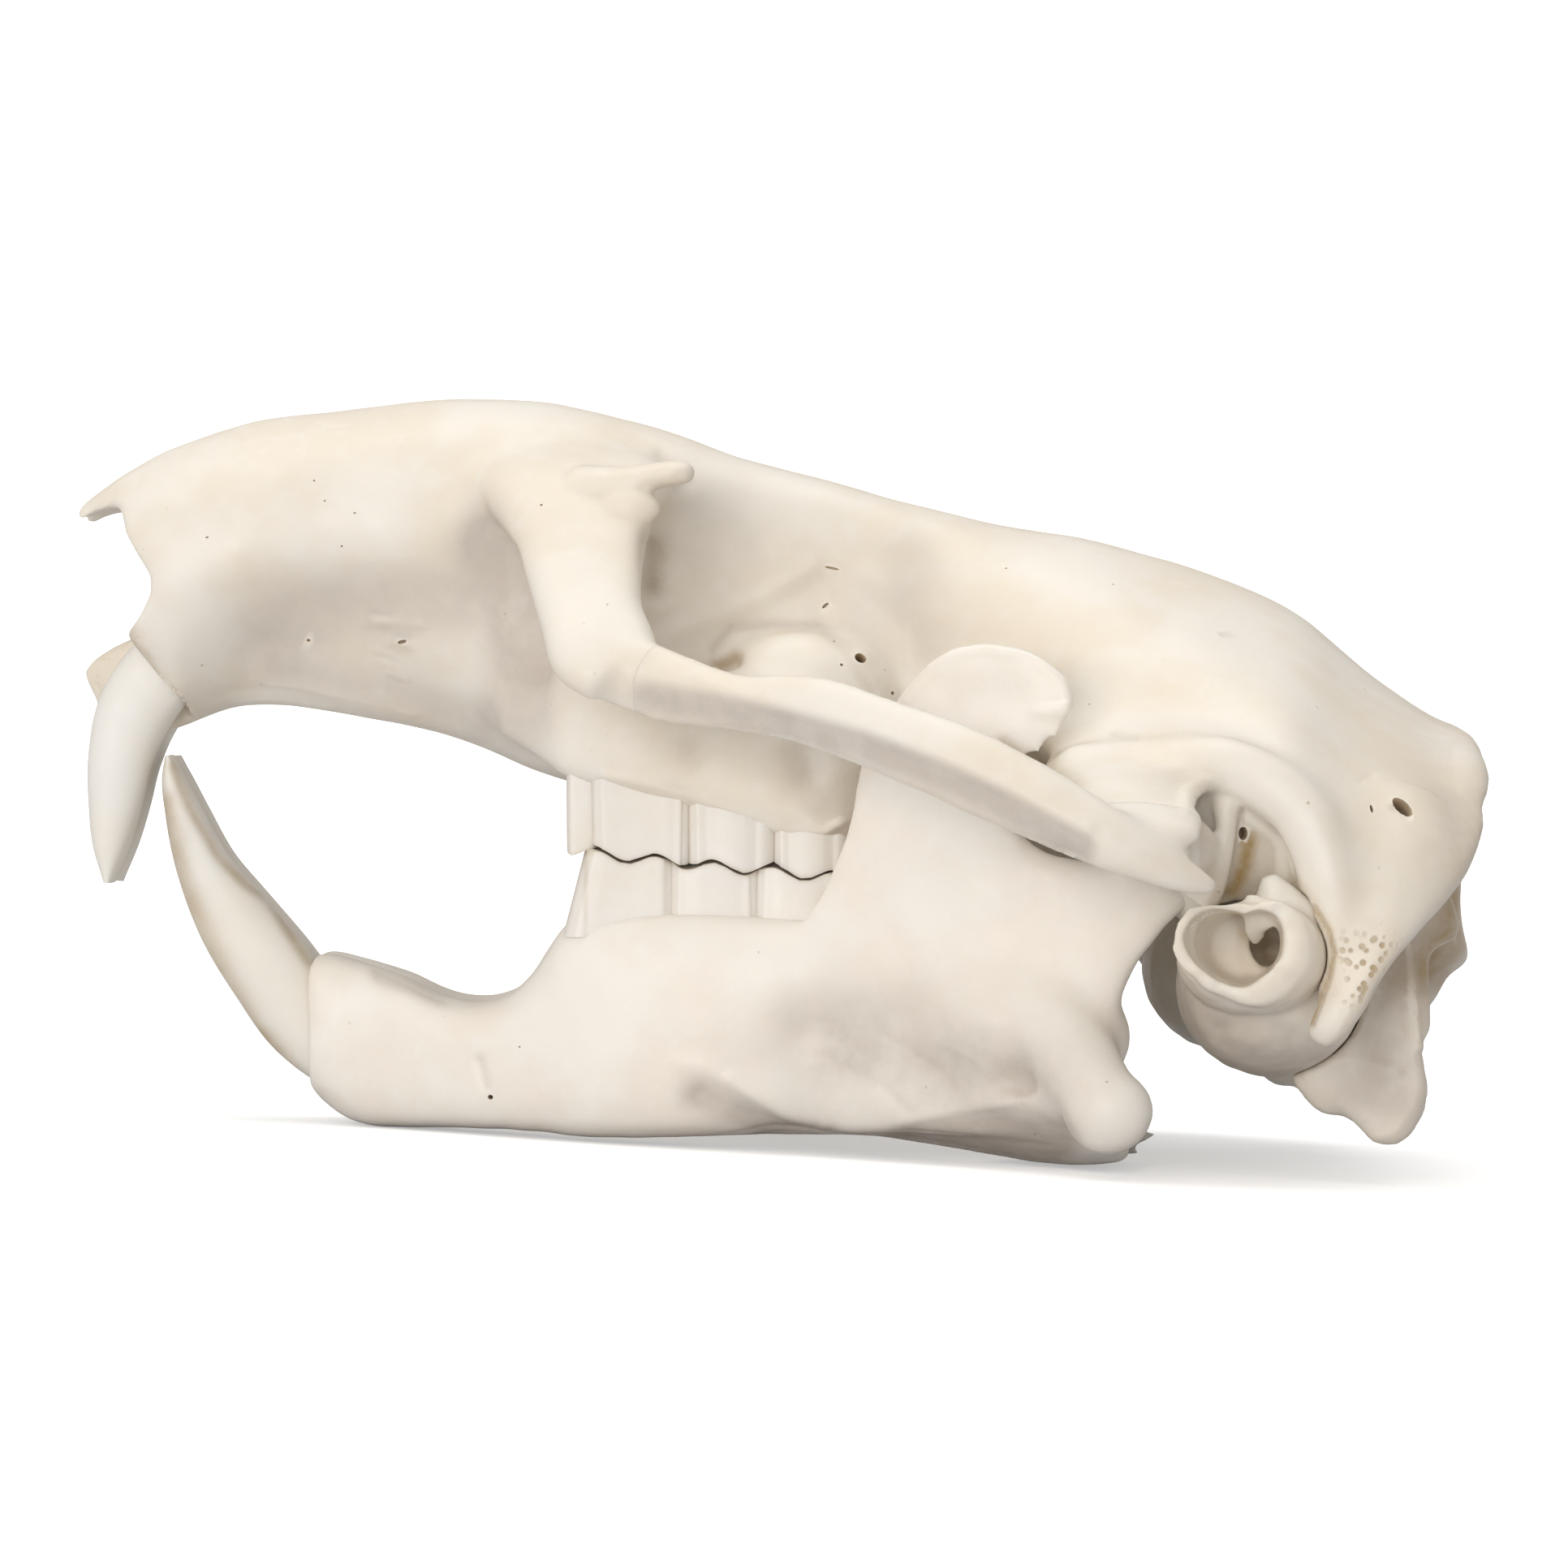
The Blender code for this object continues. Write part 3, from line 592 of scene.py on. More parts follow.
    def paint(self, name: str, value: np.ndarray) -> None:
        """Keeps one number for each vertex under a name."""
        layer = self.obj.data.attributes.get(name) or self.obj.data.attributes.new(name, "FLOAT", "POINT")
        layer.data.foreach_set("value", np.clip(value, 0, 1).astype(np.float32))

    def tone(self, marks: tuple, share: float = 0.7) -> "Body":
        """Paints the shares of shade, stain and sponge.

        The painted shade is darker in hollows: how far the skin lies below its own smoothed shape, at a fine
        and a broad scale. Marks add painted shade to it, or take some away as painted light.

        Args:
            marks: the marks.
            share: how much of the way to its neighbours a round of smoothing moves a vertex.

        Returns:
            The same body.
        """
        place, normal, neighbours = self.place(), self.normal(), self.neighbours()
        smooth, hollow = place, np.zeros(len(place))
        for turn in range(1, max(HOLLOWS) + 1):
            smooth = smooth + share * (self.mean_beside(smooth, neighbours) - smooth)
            if turn in HOLLOWS:
                depth = ((smooth - place) * normal).sum(axis=1)
                hollow = hollow + np.clip((depth - HOLLOW_START) / HOLLOWS[turn], 0, 1) / len(HOLLOWS)
        total = {name: np.zeros(len(place)) for name in LAYERS}
        # painted shade in the hollows
        total["shade"] = hollow
        for mark in marks:
            log.debug("toning the %s", mark.name)
            mask = mask_of(mark, place, normal)
            for name in total:
                total[name] = total[name] + getattr(mark, name) * mask
        for name, value in total.items():
            self.paint(name, value)
        return self

    def thin(self, triangles: int) -> "Body":
        """Fewer faces where the skin is flat, down to a number of triangles."""
        count = len(self.obj.data.loops) - 2 * len(self.obj.data.polygons)
        if count > triangles:
            step = self.obj.modifiers.new("fewer faces", "DECIMATE")
            step.ratio = triangles / count
            self.apply()
        return self

    def islands(self) -> list:
        """The closed surfaces of the mesh as bodies, largest first.

        Labels sink along edges to the lowest in each surface, and jump to the label they point at.

        Returns:
            The bodies. This one is removed.
        """
        mesh = self.obj.data
        mesh.calc_loop_triangles()
        faces = np.empty(len(mesh.loop_triangles) * 3, np.int32)
        mesh.loop_triangles.foreach_get("vertices", faces)
        faces = faces.reshape(-1, 3)
        place, (a, b) = self.place(), self.edges().T
        label = np.arange(len(place))
        while True:
            low = label.copy()
            np.minimum.at(low, a, label[b])
            np.minimum.at(low, b, label[a])
            low = low[low]
            if (low == label).all():
                break
            label = low
        names, sizes = np.unique(label[faces[:, 0]], return_counts=True)
        layers = {name: self.layer(name) for name in LAYERS if name in mesh.attributes}
        found = []
        for name in names[np.argsort(-sizes)]:
            own = faces[label[faces[:, 0]] == name]
            used, own = np.unique(own, return_inverse=True)
            body = Body.new(Body.mesh_of(place[used], own.reshape(-1, 3), self.obj.name), self.obj.name)
            for layer, value in layers.items():
                body.paint(layer, value[used])
            found.append(body)
        bpy.data.objects.remove(self.obj)
        return found

    def keep_largest(self) -> "Body":
        """Only the largest closed surface, as a new body."""
        found = self.islands()
        for other in found[1:]:
            bpy.data.objects.remove(other.obj)
        return found[0]

    def settle(self, name: str, nodes: tuple, slot: str, finish: bpy.types.Material) -> None:
        """Tips the body to its rest, in metres, and makes it a piece of the object.

        Args:
            name: the piece's name.
            nodes: the CAD nodes that it stands for.
            slot: the record's material slot; not used.
            finish: its material.
        """
        obj = self.obj
        obj.name = name
        obj.data.name = name
        obj.data.transform(Matrix.Scale(MM, 4) @ REST)
        obj.data.shade_smooth()
        obj.data.set_sharp_from_angle(angle=SHARP_EDGE)
        obj.data.materials.clear()
        obj.data.materials.append(finish)
        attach(obj, "root")
        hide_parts(*nodes)
        log.info("%s: %d triangles", name, len(obj.data.loops) - 2 * len(obj.data.polygons))

    def settle_pair(self, piece: str, node: str, slot: str, finish: bpy.types.Material) -> None:
        """Settles the body's mirror image as the right piece, then the body as the left one.

        Args:
            piece: the pieces' name without its side.
            node: the CAD nodes' name without its side.
            slot: the record's material slot.
            finish: their material.
        """
        for side, body in (("right", self.mirrored()), ("left", self)):
            body.settle(f"{piece}_{side}", (f"{node}_{side}",), slot, finish)


class Tones:
    """The node group that all finishes of bone and tooth use, made once, and the steps it is made of.

    BROAD to PORES are scales to the metre. The pairs are ranges that a pattern is read from. ROUGHNESS
    and the spreads are ranges that one is read into.
    """

    BROAD, CLOUD, FINE, SPONGE, PORES = 150, 620, 2600, 2300, 520
    PALE_FIELDS = (0.36, 0.64)
    FLECKS = (0.5, 0.72)
    CLOUDY = (0.3, 0.7)
    SPONGE_PIT = (0.44, 0.22)
    PORE_PIT = (0.05, 0.02)
    PORE_FIELDS = (0.45, 0.6)
    PORE_STRENGTH = 0.7
    PIT_STAIN = 0.8
    CLOUD_RELIEF, FINE_RELIEF, PIT_RELIEF = 0.7, 0.3, 4.0
    SHADE_SPREAD, STAIN_SPREAD = (0.8, 1.1), (0.75, 1.15)
    ROUGHNESS = (0.42, 0.54)

    @staticmethod
    def group(name: str, inputs: dict, outputs: dict) -> tuple:
        """An empty group with named sockets.

        Args:
            name: the group's name.
            inputs: socket names with their default values; four numbers make a colour.
            outputs: socket names with "NodeSocketColor" or "NodeSocketFloat".

        Returns:
            The group, its input node and its output node.
        """
        made = bpy.data.node_groups.new(name, "ShaderNodeTree")
        for socket, value in inputs.items():
            kind = "NodeSocketColor" if isinstance(value, tuple) else "NodeSocketFloat"
            made.interface.new_socket(socket, in_out="INPUT", socket_type=kind).default_value = value
        for socket, kind in outputs.items():
            made.interface.new_socket(socket, in_out="OUTPUT", socket_type=kind)
        return made, made.nodes.new("NodeGroupInput"), made.nodes.new("NodeGroupOutput")

    @staticmethod
    def mix(tree: bpy.types.NodeTree, share: bpy.types.NodeSocket, low: bpy.types.NodeSocket,
            high: bpy.types.NodeSocket) -> bpy.types.NodeSocket:
        """A colour between two others.

        Args:
            tree: where the node goes.
            share: how much of the second colour shows.
            low: the first colour.
            high: the second colour.

        Returns:
            The socket that gives the colour.
        """
        node = tree.nodes.new("ShaderNodeMix")
        node.data_type = "RGBA"
        tree.links.new(share, node.inputs[0])
        tree.links.new(low, node.inputs[6])
        tree.links.new(high, node.inputs[7])
        return node.outputs[2]

    @staticmethod
    def number(tree: bpy.types.NodeTree, operation: str, first: bpy.types.NodeSocket,
               second: bpy.types.NodeSocket | float) -> bpy.types.NodeSocket:
        """A sum, product or other step on two numbers.

        Args:
            tree: where the node goes.
            operation: the step, such as "ADD" or "MULTIPLY".
            first: the first number, as a socket.
            second: the second, as a socket or a number.

        Returns:
            The socket that gives the result.
        """
        node = tree.nodes.new("ShaderNodeMath")
        node.operation = operation
        for socket, value in zip(node.inputs, (first, second)):
            if isinstance(value, (int, float)):
                socket.default_value = value
            else:
                tree.links.new(value, socket)
        return node.outputs[0]

    @staticmethod
    def band(tree: bpy.types.NodeTree, value: bpy.types.NodeSocket, low: float, high: float,
             to_low: float = 0.0, to_high: float = 1.0) -> bpy.types.NodeSocket:
        """A value read smoothly from one range into another.

        Args:
            tree: where the node goes.
            value: the value.
            low: the start of its range.
            high: the end of its range.
            to_low: what the start becomes.
            to_high: what the end becomes.

        Returns:
            The socket that gives the result.
        """
        node = tree.nodes.new("ShaderNodeMapRange")
        node.interpolation_type = "SMOOTHSTEP"
        tree.links.new(value, node.inputs["Value"])
        for name, number in (("From Min", low), ("From Max", high), ("To Min", to_low), ("To Max", to_high)):
            node.inputs[name].default_value = number
        return node.outputs["Result"]

    @staticmethod
    def noise(tree: bpy.types.NodeTree, place: bpy.types.NodeSocket, scale: float, detail: float,
              roughness: float = 0.55) -> bpy.types.NodeSocket:
        """Uneven values over the surface.

        Args:
            tree: where the node goes.
            place: the coordinates.
            scale: swells to the metre.
            detail: how many finer sizes are added.
            roughness: how strong the finer sizes are.

        Returns:
            The socket that gives values from 0 to 1.
        """
        node = tree.nodes.new("ShaderNodeTexNoise")
        node.inputs["Scale"].default_value = scale
        node.inputs["Detail"].default_value = detail
        node.inputs["Roughness"].default_value = roughness
        tree.links.new(place, node.inputs["Vector"])
        return node.outputs["Fac"]

    @staticmethod
    def cells(tree: bpy.types.NodeTree, place: bpy.types.NodeSocket, scale: float) -> bpy.types.NodeSocket:
        """Distances to the nearest of scattered points.

        Args:
            tree: where the node goes.
            place: the coordinates.
            scale: points to the metre.

        Returns:
            The socket that gives the distances.
        """
        node = tree.nodes.new("ShaderNodeTexVoronoi")
        node.inputs["Scale"].default_value = scale
        tree.links.new(place, node.inputs["Vector"])
        return node.outputs["Distance"]

    @classmethod
    def grown(cls) -> bpy.types.NodeTree:
        """Colour, relief and roughness of bone or tooth that has grown, dried and been handled.

        Warm and pale fields mix by a broad noise, with pale flecks by a cloudy one. Painted shade, stain and
        sponge come over them by their painted shares, and pits are stained and sunk.

        Returns:
            The node group.
        """
        found = bpy.data.node_groups.get("grown surface with painted shade")
        if found:
            return found
        tree, given, out = cls.group("grown surface with painted shade", {
            "Pale": (1.0, 1.0, 1.0, 1.0), "Warm": (1.0, 1.0, 1.0, 1.0), "Shade Tone": (1.0, 1.0, 1.0, 1.0),
            "Stain Tone": (1.0, 1.0, 1.0, 1.0), "Shade": 0.0, "Stain": 0.0, "Spongy": 0.0, "Mottle": 0.5,
        }, {"Color": "NodeSocketColor", "Height": "NodeSocketFloat", "Roughness": "NodeSocketFloat"})
        read = given.outputs
        place = tree.nodes.new("ShaderNodeTexCoord").outputs["Object"]
        broad = cls.noise(tree, place, cls.BROAD, 3)
        cloud = cls.noise(tree, place, cls.CLOUD, 4, 0.6)
        fine = cls.noise(tree, place, cls.FINE, 3, 0.6)
        base = cls.mix(tree, cls.band(tree, broad, *cls.PALE_FIELDS), read["Warm"], read["Pale"])
        fleck = cls.number(tree, "MULTIPLY", cls.band(tree, cloud, *cls.FLECKS), read["Mottle"])
        base = cls.mix(tree, fleck, base, read["Pale"])
        # painted shade: the shade tone by its painted share
        shaded = cls.number(tree, "MULTIPLY", cls.band(tree, cloud, *cls.CLOUDY, *cls.SHADE_SPREAD), read["Shade"])
        base = cls.mix(tree, shaded, base, read["Shade Tone"])
        spongy = cls.band(tree, cls.cells(tree, place, cls.SPONGE), *cls.SPONGE_PIT)
        pore = cls.band(tree, cls.cells(tree, place, cls.PORES), *cls.PORE_PIT)
        pore = cls.number(tree, "MULTIPLY", pore, cls.band(tree, broad, *cls.PORE_FIELDS))
        pit = cls.number(tree, "MULTIPLY", spongy, read["Spongy"])
        pit = cls.number(tree, "MAXIMUM", pit, cls.number(tree, "MULTIPLY", pore, cls.PORE_STRENGTH))
        stained = cls.number(tree, "MULTIPLY", cls.band(tree, cloud, *cls.CLOUDY, *cls.STAIN_SPREAD), read["Stain"])
        stained = cls.number(tree, "MAXIMUM", stained, cls.number(tree, "MULTIPLY", pit, cls.PIT_STAIN))
        base = cls.mix(tree, stained, base, read["Stain Tone"])
        tree.links.new(base, out.inputs["Color"])
        cloudy = cls.number(tree, "MULTIPLY", cloud, cls.CLOUD_RELIEF)
        relief = cls.number(tree, "ADD", cloudy, cls.number(tree, "MULTIPLY", fine, cls.FINE_RELIEF))
        relief = cls.number(tree, "SUBTRACT", relief, cls.number(tree, "MULTIPLY", pit, cls.PIT_RELIEF))
        tree.links.new(relief, out.inputs["Height"])
        tree.links.new(cls.band(tree, cloud, *cls.CLOUDY, *cls.ROUGHNESS), out.inputs["Roughness"])
        return tree


@dataclass(frozen=True)
class Finish:
    """The look of bone or tooth: its tones as linear colours, and how it takes the light.

    shade is the tone of painted shade. edge is the tone of painted shade on skin that turns away from the
    eye, from facing_start on and up to the share edge_share. relief_depth and glow_depth are in metres.
    """

    name: str
    pale: tuple = (0.835, 0.79, 0.71, 1.0)
    warm: tuple = (0.80, 0.72, 0.605, 1.0)
    shade: tuple = (0.585, 0.52, 0.455, 1.0)
    stain: tuple = (0.36, 0.24, 0.09, 1.0)
    edge: tuple = (0.60, 0.50, 0.38, 1.0)
    mottle: float = 0.6
    relief: float = 0.4
    relief_depth: float = 0.00012
    subsurface: float = 0.12
    glow_depth: float = 0.0012
    glow_spread: tuple = (1.0, 0.7, 0.45)
    gloss: float = 0.5
    facing_blend: float = 0.3
    facing_start: float = 0.5
    edge_share: float = 0.6

    def material(self) -> bpy.types.Material:
        """The finish as a material, made once.

        Returns:
            The material.
        """
        found = bpy.data.materials.get(self.name)
        if found:
            return found
        made = bpy.data.materials.new(self.name)
        made.use_nodes = True
        tree = made.node_tree
        shader = tree.nodes["Principled BSDF"]
        skin = tree.nodes.new("ShaderNodeGroup")
        skin.node_tree = Tones.grown()
        tones = (("Pale", self.pale), ("Warm", self.warm), ("Shade Tone", self.shade), ("Stain Tone", self.stain))
        for socket, value in (*tones, ("Mottle", self.mottle)):
            skin.inputs[socket].default_value = value
        for name in LAYERS:
            layer = tree.nodes.new("ShaderNodeAttribute")
            layer.attribute_name = name
            tree.links.new(layer.outputs["Fac"], skin.inputs[name.capitalize()])
        bump = tree.nodes.new("ShaderNodeBump")
        bump.inputs["Strength"].default_value = self.relief
        bump.inputs["Distance"].default_value = self.relief_depth
        tree.links.new(skin.outputs["Height"], bump.inputs["Height"])
        tree.links.new(bump.outputs["Normal"], shader.inputs["Normal"])
        # painted shade in the edge tone, where the skin turns away from the eye
        facing = tree.nodes.new("ShaderNodeLayerWeight")
        facing.inputs["Blend"].default_value = self.facing_blend
        edge = tree.nodes.new("ShaderNodeRGB")
        edge.outputs[0].default_value = self.edge
        share = Tones.band(tree, facing.outputs["Facing"], self.facing_start, 1.0, 0.0, self.edge_share)
        tree.links.new(Tones.mix(tree, share, skin.outputs["Color"], edge.outputs[0]), shader.inputs["Base Color"])
        tree.links.new(skin.outputs["Roughness"], shader.inputs["Roughness"])
        shader.inputs["Specular IOR Level"].default_value = self.gloss
        shader.inputs["Subsurface Weight"].default_value = self.subsurface
        shader.inputs["Subsurface Scale"].default_value = self.glow_depth
        shader.inputs["Subsurface Radius"].default_value = self.glow_spread
        return made


BONE = Finish("clean bone")
# Painted light: the jaw's bone is a paler copy of the skull's bone, standing in for more light on the jaw.
LIT_JAW_BONE = Finish("jaw bone painted paler", pale=(0.88, 0.84, 0.77, 1.0), warm=(0.85, 0.78, 0.69, 1.0))
CHEEK_TOOTH = Finish("cheek tooth", pale=(0.84, 0.80, 0.745, 1.0), warm=(0.82, 0.77, 0.685, 1.0),
                     shade=(0.70, 0.64, 0.58, 1.0), gloss=0.6)
INCISOR = Finish("incisor enamel", pale=(0.81, 0.785, 0.735, 1.0), warm=(0.80, 0.755, 0.67, 1.0),
                 shade=(0.66, 0.56, 0.42, 1.0), gloss=0.65, relief=0.1)


@dataclass(frozen=True)
class BitingLine:
    """The worn line where the upper and lower cheek teeth meet: a falling line with a wave along it."""

    height: float = 14.72
    start: float = -10.0
    fall: float = 0.095
    wave: float = 0.24
    crest: float = -8.9
    pitch: float = 2.8

    def at(self, x: np.ndarray) -> np.ndarray:
        """Height of the line at x, its start's height less the fall, plus a cosine of x."""
        wave = self.wave * np.cos(2 * math.pi * (x - self.crest) / self.pitch)
        return self.height - self.fall * (x - self.start) + wave


BITING_LINE = BitingLine()


@dataclass(frozen=True)
class CheekTooth:
    """A ribbed column with a worn, dished biting face.

    ribs are rows of a turn in degrees, a share of the reach and a spread in radians. crown holds the
    size and level of the rings that close over the biting face, inside its raised enamel rim. The stain
    shares and widths at the ends and at the biting line are painted shade, in the stain's tone, for the
    crevices between teeth and the gap between the rows.
    """

    name: str
    x: float
    y: float
    length: float
    width: float
    ribs: tuple = ()
    slant: float = 0.0
    bite: float = 0.08
    flare: float = 0.05
    dish: float = 0.28
    square: tuple = (0.45, 0.5)
    crown: tuple = (
        (0.975, 1.0), (0.93, 1.004), (0.88, 0.99), (0.80, 0.96), (0.55, 0.95), (0.2, 0.955), (0.02, 0.955),
    )
    crevice_shade: tuple = (0.22, 0.12)
    bite_gap_shade: tuple = (0.4, 0.16)

    def body(self, root: float, row: Row, rings: int = 26, sides: int = 144) -> Body:
        """The tooth from its root to its biting line.

        Each ring is a superellipse whose reach swells at each rib; the last rings close inwards over a
        dished face with a raised enamel rim. The front face leans back towards the root by the slant.

        Args:
            root: height of the hidden end.
            row: the row that it stands in.
            rings: rings down the column.
            sides: points round it.

        Returns:
            The tooth.
        """
        turn = np.linspace(0, 2 * math.pi, sides, endpoint=False)
        reach = np.ones(sides)
        for angle, size, spread in self.ribs:
            away = (turn - math.radians(angle) + math.pi) % (2 * math.pi) - math.pi
            reach = reach + size * np.exp(-((away / spread) ** 2))
        flat_x = self.length / 2 * reach * power(np.cos(turn), self.square[0])
        flat_y = self.width / 2 * reach * power(np.sin(turn), self.square[1])
        lift = self.bite if row is Row.UPPER else -self.bite
        down = np.linspace(0, 1, rings)
        rows = np.concatenate([np.stack([np.ones(rings), down], -1), np.array(self.crown)])
        size, level = rows[:, :1], rows[:, 1:]
        swell = size * (1 + self.flare * (1 - np.clip(level, 0, 1)))
        x, y = self.x + flat_x * swell, self.y + flat_y * swell
        biting = BITING_LINE.at(x) + lift + self.dish * (y - self.y + self.width / 2)
        z = root + (biting - root) * level
        front = 0.5 - (x - self.x) / self.length
        made = Body.loft(np.stack([x - self.slant * front * (biting - z), y, z], axis=-1), self.name)
        # painted shade, laid in the stain layer, in the crevices at the tooth's ends and along the biting gap
        place = made.place()
        aside = np.abs(np.abs(place[:, 0] - self.x) - self.length / 2)
        ends = self.crevice_shade[0] * np.exp(-((aside / self.crevice_shade[1]) ** 2))
        above = np.abs(place[:, 2] - BITING_LINE.at(place[:, 0]))
        worn = np.exp(-((above / self.bite_gap_shade[1]) ** 2))
        made.paint("stain", ends + self.bite_gap_shade[0] * worn)
        return made

    def build(self, root: float, row: Row) -> None:
        """Dresses the tooth and its pair.

        Args:
            root: height of the hidden end.
            row: the row that they stand in.
        """
        left = self.body(root, row)
        for tooth, side in ((left, "left"), (left.mirrored(), "right")):
            node, slot = ("cranium", "skull_bone") if row is Row.UPPER else ("mandible_" + side, "jaw_bone")
            tooth.settle(f"{row.value}_{self.name}_{side}", (node,), slot, CHEEK_TOOTH.material())


@dataclass
class Cranium:
    """The skull's bone above the jaw, with its upper cheek teeth and cheek arches.

    stations are rows of x, top, bottom, half-widths at the top, middle and bottom, and squareness. A rod's
    rows are x, y, z, half-width across and half-height, a ball's are its middle and half sizes, and an
    outline's are x and z. rounding and finishing are rounds of filling and of smoothing. The cuts are
    the range of y that an outline is carried across.
    """

    voxel: float = 0.22
    fine_voxel: float = 0.16
    rounding: tuple = (80, 12)
    finishing: tuple = (6, 6)
    swells: tuple = (Swell(9.0, 0.06, 3), Swell(2.6, 0.018, 4))
    bone_faces: int = 190000
    arch_faces: int = 40000
    tooth_root: float = 19.0
    ear_room: float = 0.06
    nose_cut: tuple = (-12.0, 12.0)
    temple_cut: tuple = (-22.8, -17.8)
    socket_cut: tuple = (-8.0, -0.6)
    width_fall: float = 1.3
    stations: tuple = (
        (-35.3, 31.25, 30.3, 1.5, 1.7, 1.3, 0.9),
        (-33.6, 32.45, 21.2, 4.1, 4.2, 3.6, 0.85),
        (-30.6, 34.3, 20.6, 5.6, 6.1, 3.9, 0.85),
        (-27.0, 35.6, 21.8, 6.2, 7.2, 3.8, 0.85),
        (-22.0, 36.4, 21.5, 6.6, 7.5, 3.4, 0.85),
        (-16.0, 36.9, 20.2, 7.0, 7.8, 4.4, 0.85),
        (-11.0, 36.7, 18.2, 7.4, 7.8, 7.6, 0.8),
        (-7.0, 35.7, 17.6, 7.2, 6.2, 8.4, 0.75),
        (-2.6, 34.2, 16.8, 6.2, 4.5, 8.0, 0.7),
        (2.0, 33.0, 15.9, 5.6, 4.4, 7.6, 0.7),
        (6.5, 31.7, 15.4, 5.8, 5.8, 6.4, 0.75),
        (11.0, 30.7, 14.2, 6.4, 9.2, 5.4, 0.8),
        (16.0, 29.8, 12.6, 7.2, 13.0, 6.6, 0.85),
        (21.0, 28.3, 10.9, 7.6, 16.2, 9.0, 0.9),
        (25.0, 26.5, 9.8, 8.0, 18.2, 11.6, 0.9),
        (28.6, 23.6, 8.6, 9.0, 18.8, 14.0, 0.9),
        (31.0, 21.9, 8.4, 10.0, 18.4, 13.4, 0.85),
        (32.6, 20.8, 8.8, 10.0, 17.4, 12.0, 0.85),
        (33.5, 20.1, 9.2, 9.6, 16.6, 11.4, 0.85),
    )
    crest_sweep: tuple = (0.011, 20.0, 10.0)
    cheek_root: tuple = (
        (-10.4, -3.0, 33.0, 2.0, 4.6), (-10.0, -7.8, 31.8, 1.7, 4.6), (-9.6, -10.2, 30.2, 1.4, 3.4),
        (-9.4, -12.2, 28.0, 1.3, 2.8), (-9.0, -14.2, 25.8, 1.3, 2.5), (-8.3, -15.9, 24.0, 1.3, 2.6),
        (-7.4, -17.0, 22.8, 1.0, 2.0),
    )
    cheek_arch: tuple = (
        (-8.8, -15.2, 24.0, 1.2, 1.6), (-5.4, -17.3, 22.55, 1.2, 1.85), (-2.5, -18.9, 21.8, 1.1, 1.5),
        (1.3, -20.9, 21.3, 1.1, 1.75), (4.9, -22.7, 20.05, 1.2, 1.9), (8.6, -24.2, 18.5, 1.25, 1.95),
        (12.1, -25.1, 16.8, 1.25, 1.75), (15.8, -25.3, 14.9, 1.1, 1.3), (18.6, -24.6, 13.6, 0.75, 0.75),
        (19.6, -24.3, 13.2, 0.4, 0.4),
    )
    squamosal_root: tuple = (
        (18.0, -9.0, 20.6, 6.4, 3.0), (17.6, -13.6, 19.6, 5.4, 1.9), (15.9, -18.2, 18.0, 4.2, 1.3),
        (16.0, -21.4, 16.9, 3.4, 1.1), (16.0, -24.6, 15.5, 2.9, 0.9),
    )
    tooth_bearing: tuple = (
        (-13.8, -5.2, 22.6, 0.9, 2.2), (-12.0, -6.1, 22.0, 1.6, 2.6), (-10.6, -7.3, 21.4, 2.1, 3.1),
        (-8.0, -7.9, 21.1, 2.35, 3.45), (-4.0, -7.9, 20.2, 2.4, 3.55), (0.0, -7.9, 19.1, 2.4, 3.5),
        (4.0, -7.5, 18.2, 2.2, 3.2), (7.4, -6.6, 17.6, 1.4, 2.0),
    )
    root_capsule: tuple = ((0.8, -5.4, 21.9), (4.4, 2.8, 3.5))
    nape: tuple = ((30.3, 0.0, 14.2), (2.9, 10.0, 6.0))
    condyle: tuple = ((29.7, -3.9, 9.0), (2.4, 2.1, 2.6))
    occiput_side: tuple = (
        (32.8, 0.0, 20.1, 1.0, 0.9), (32.6, -5.0, 19.6, 1.1, 0.9), (32.4, -10.0, 18.2, 1.3, 0.9),
        (31.5, -14.0, 15.8, 1.6, 0.9), (29.4, -17.2, 13.0, 1.6, 0.9), (27.6, -18.9, 10.5, 1.0, 0.9),
        (26.3, -19.1, 8.4, 1.0, 1.1), (25.0, -18.8, 6.8, 1.0, 1.0), (24.4, -18.6, 6.1, 0.6, 0.6),
    )
    crest_edge: tuple = (
        (34.2, -9.0, 19.4), (33.7, -12.0, 17.6), (33.2, -14.0, 16.2), (32.2, -16.4, 14.7), (30.6, -18.4, 12.8),
        (28.8, -19.6, 11.0), (27.3, -19.8, 9.2), (26.3, -19.4, 7.3), (25.5, -19.0, 6.2), (24.8, -18.6, 5.2),
    )
    nape_fall: tuple = ((0.1, 0.02), (0.9, 0.4), (2.2, 0.7), (4.5, 0.9), (8.5, 0.95))
    nape_width: float = 8.5
    nape_clear: float = -27.0
    mastoid: tuple = (
        (27.4, -13.4, 16.4, 3.0, 4.0), (27.4, -15.4, 13.8, 3.4, 4.6), (27.0, -17.3, 11.0, 2.6, 3.2),
        (25.8, -18.2, 8.2, 1.4, 1.8),
    )
    temporal_rim: tuple = (
        (13.0, -16.6, 18.6, 1.2, 1.2), (17.2, -17.6, 18.9, 1.2, 1.1), (20.6, -18.1, 18.8, 1.3, 1.1),
        (23.4, -18.5, 17.2, 1.4, 1.2), (24.9, -18.6, 14.4, 1.4, 1.3), (25.4, -18.4, 11.4, 1.3, 1.4),
        (25.2, -18.2, 8.6, 1.0, 1.2),
    )
    lacrimal_base: tuple = ((-10.5, -8.2, 31.6, 1.6, 1.5), (-8.6, -9.2, 31.7, 1.3, 1.3), (-7.3, -9.8, 31.9, 0.8, 0.8))
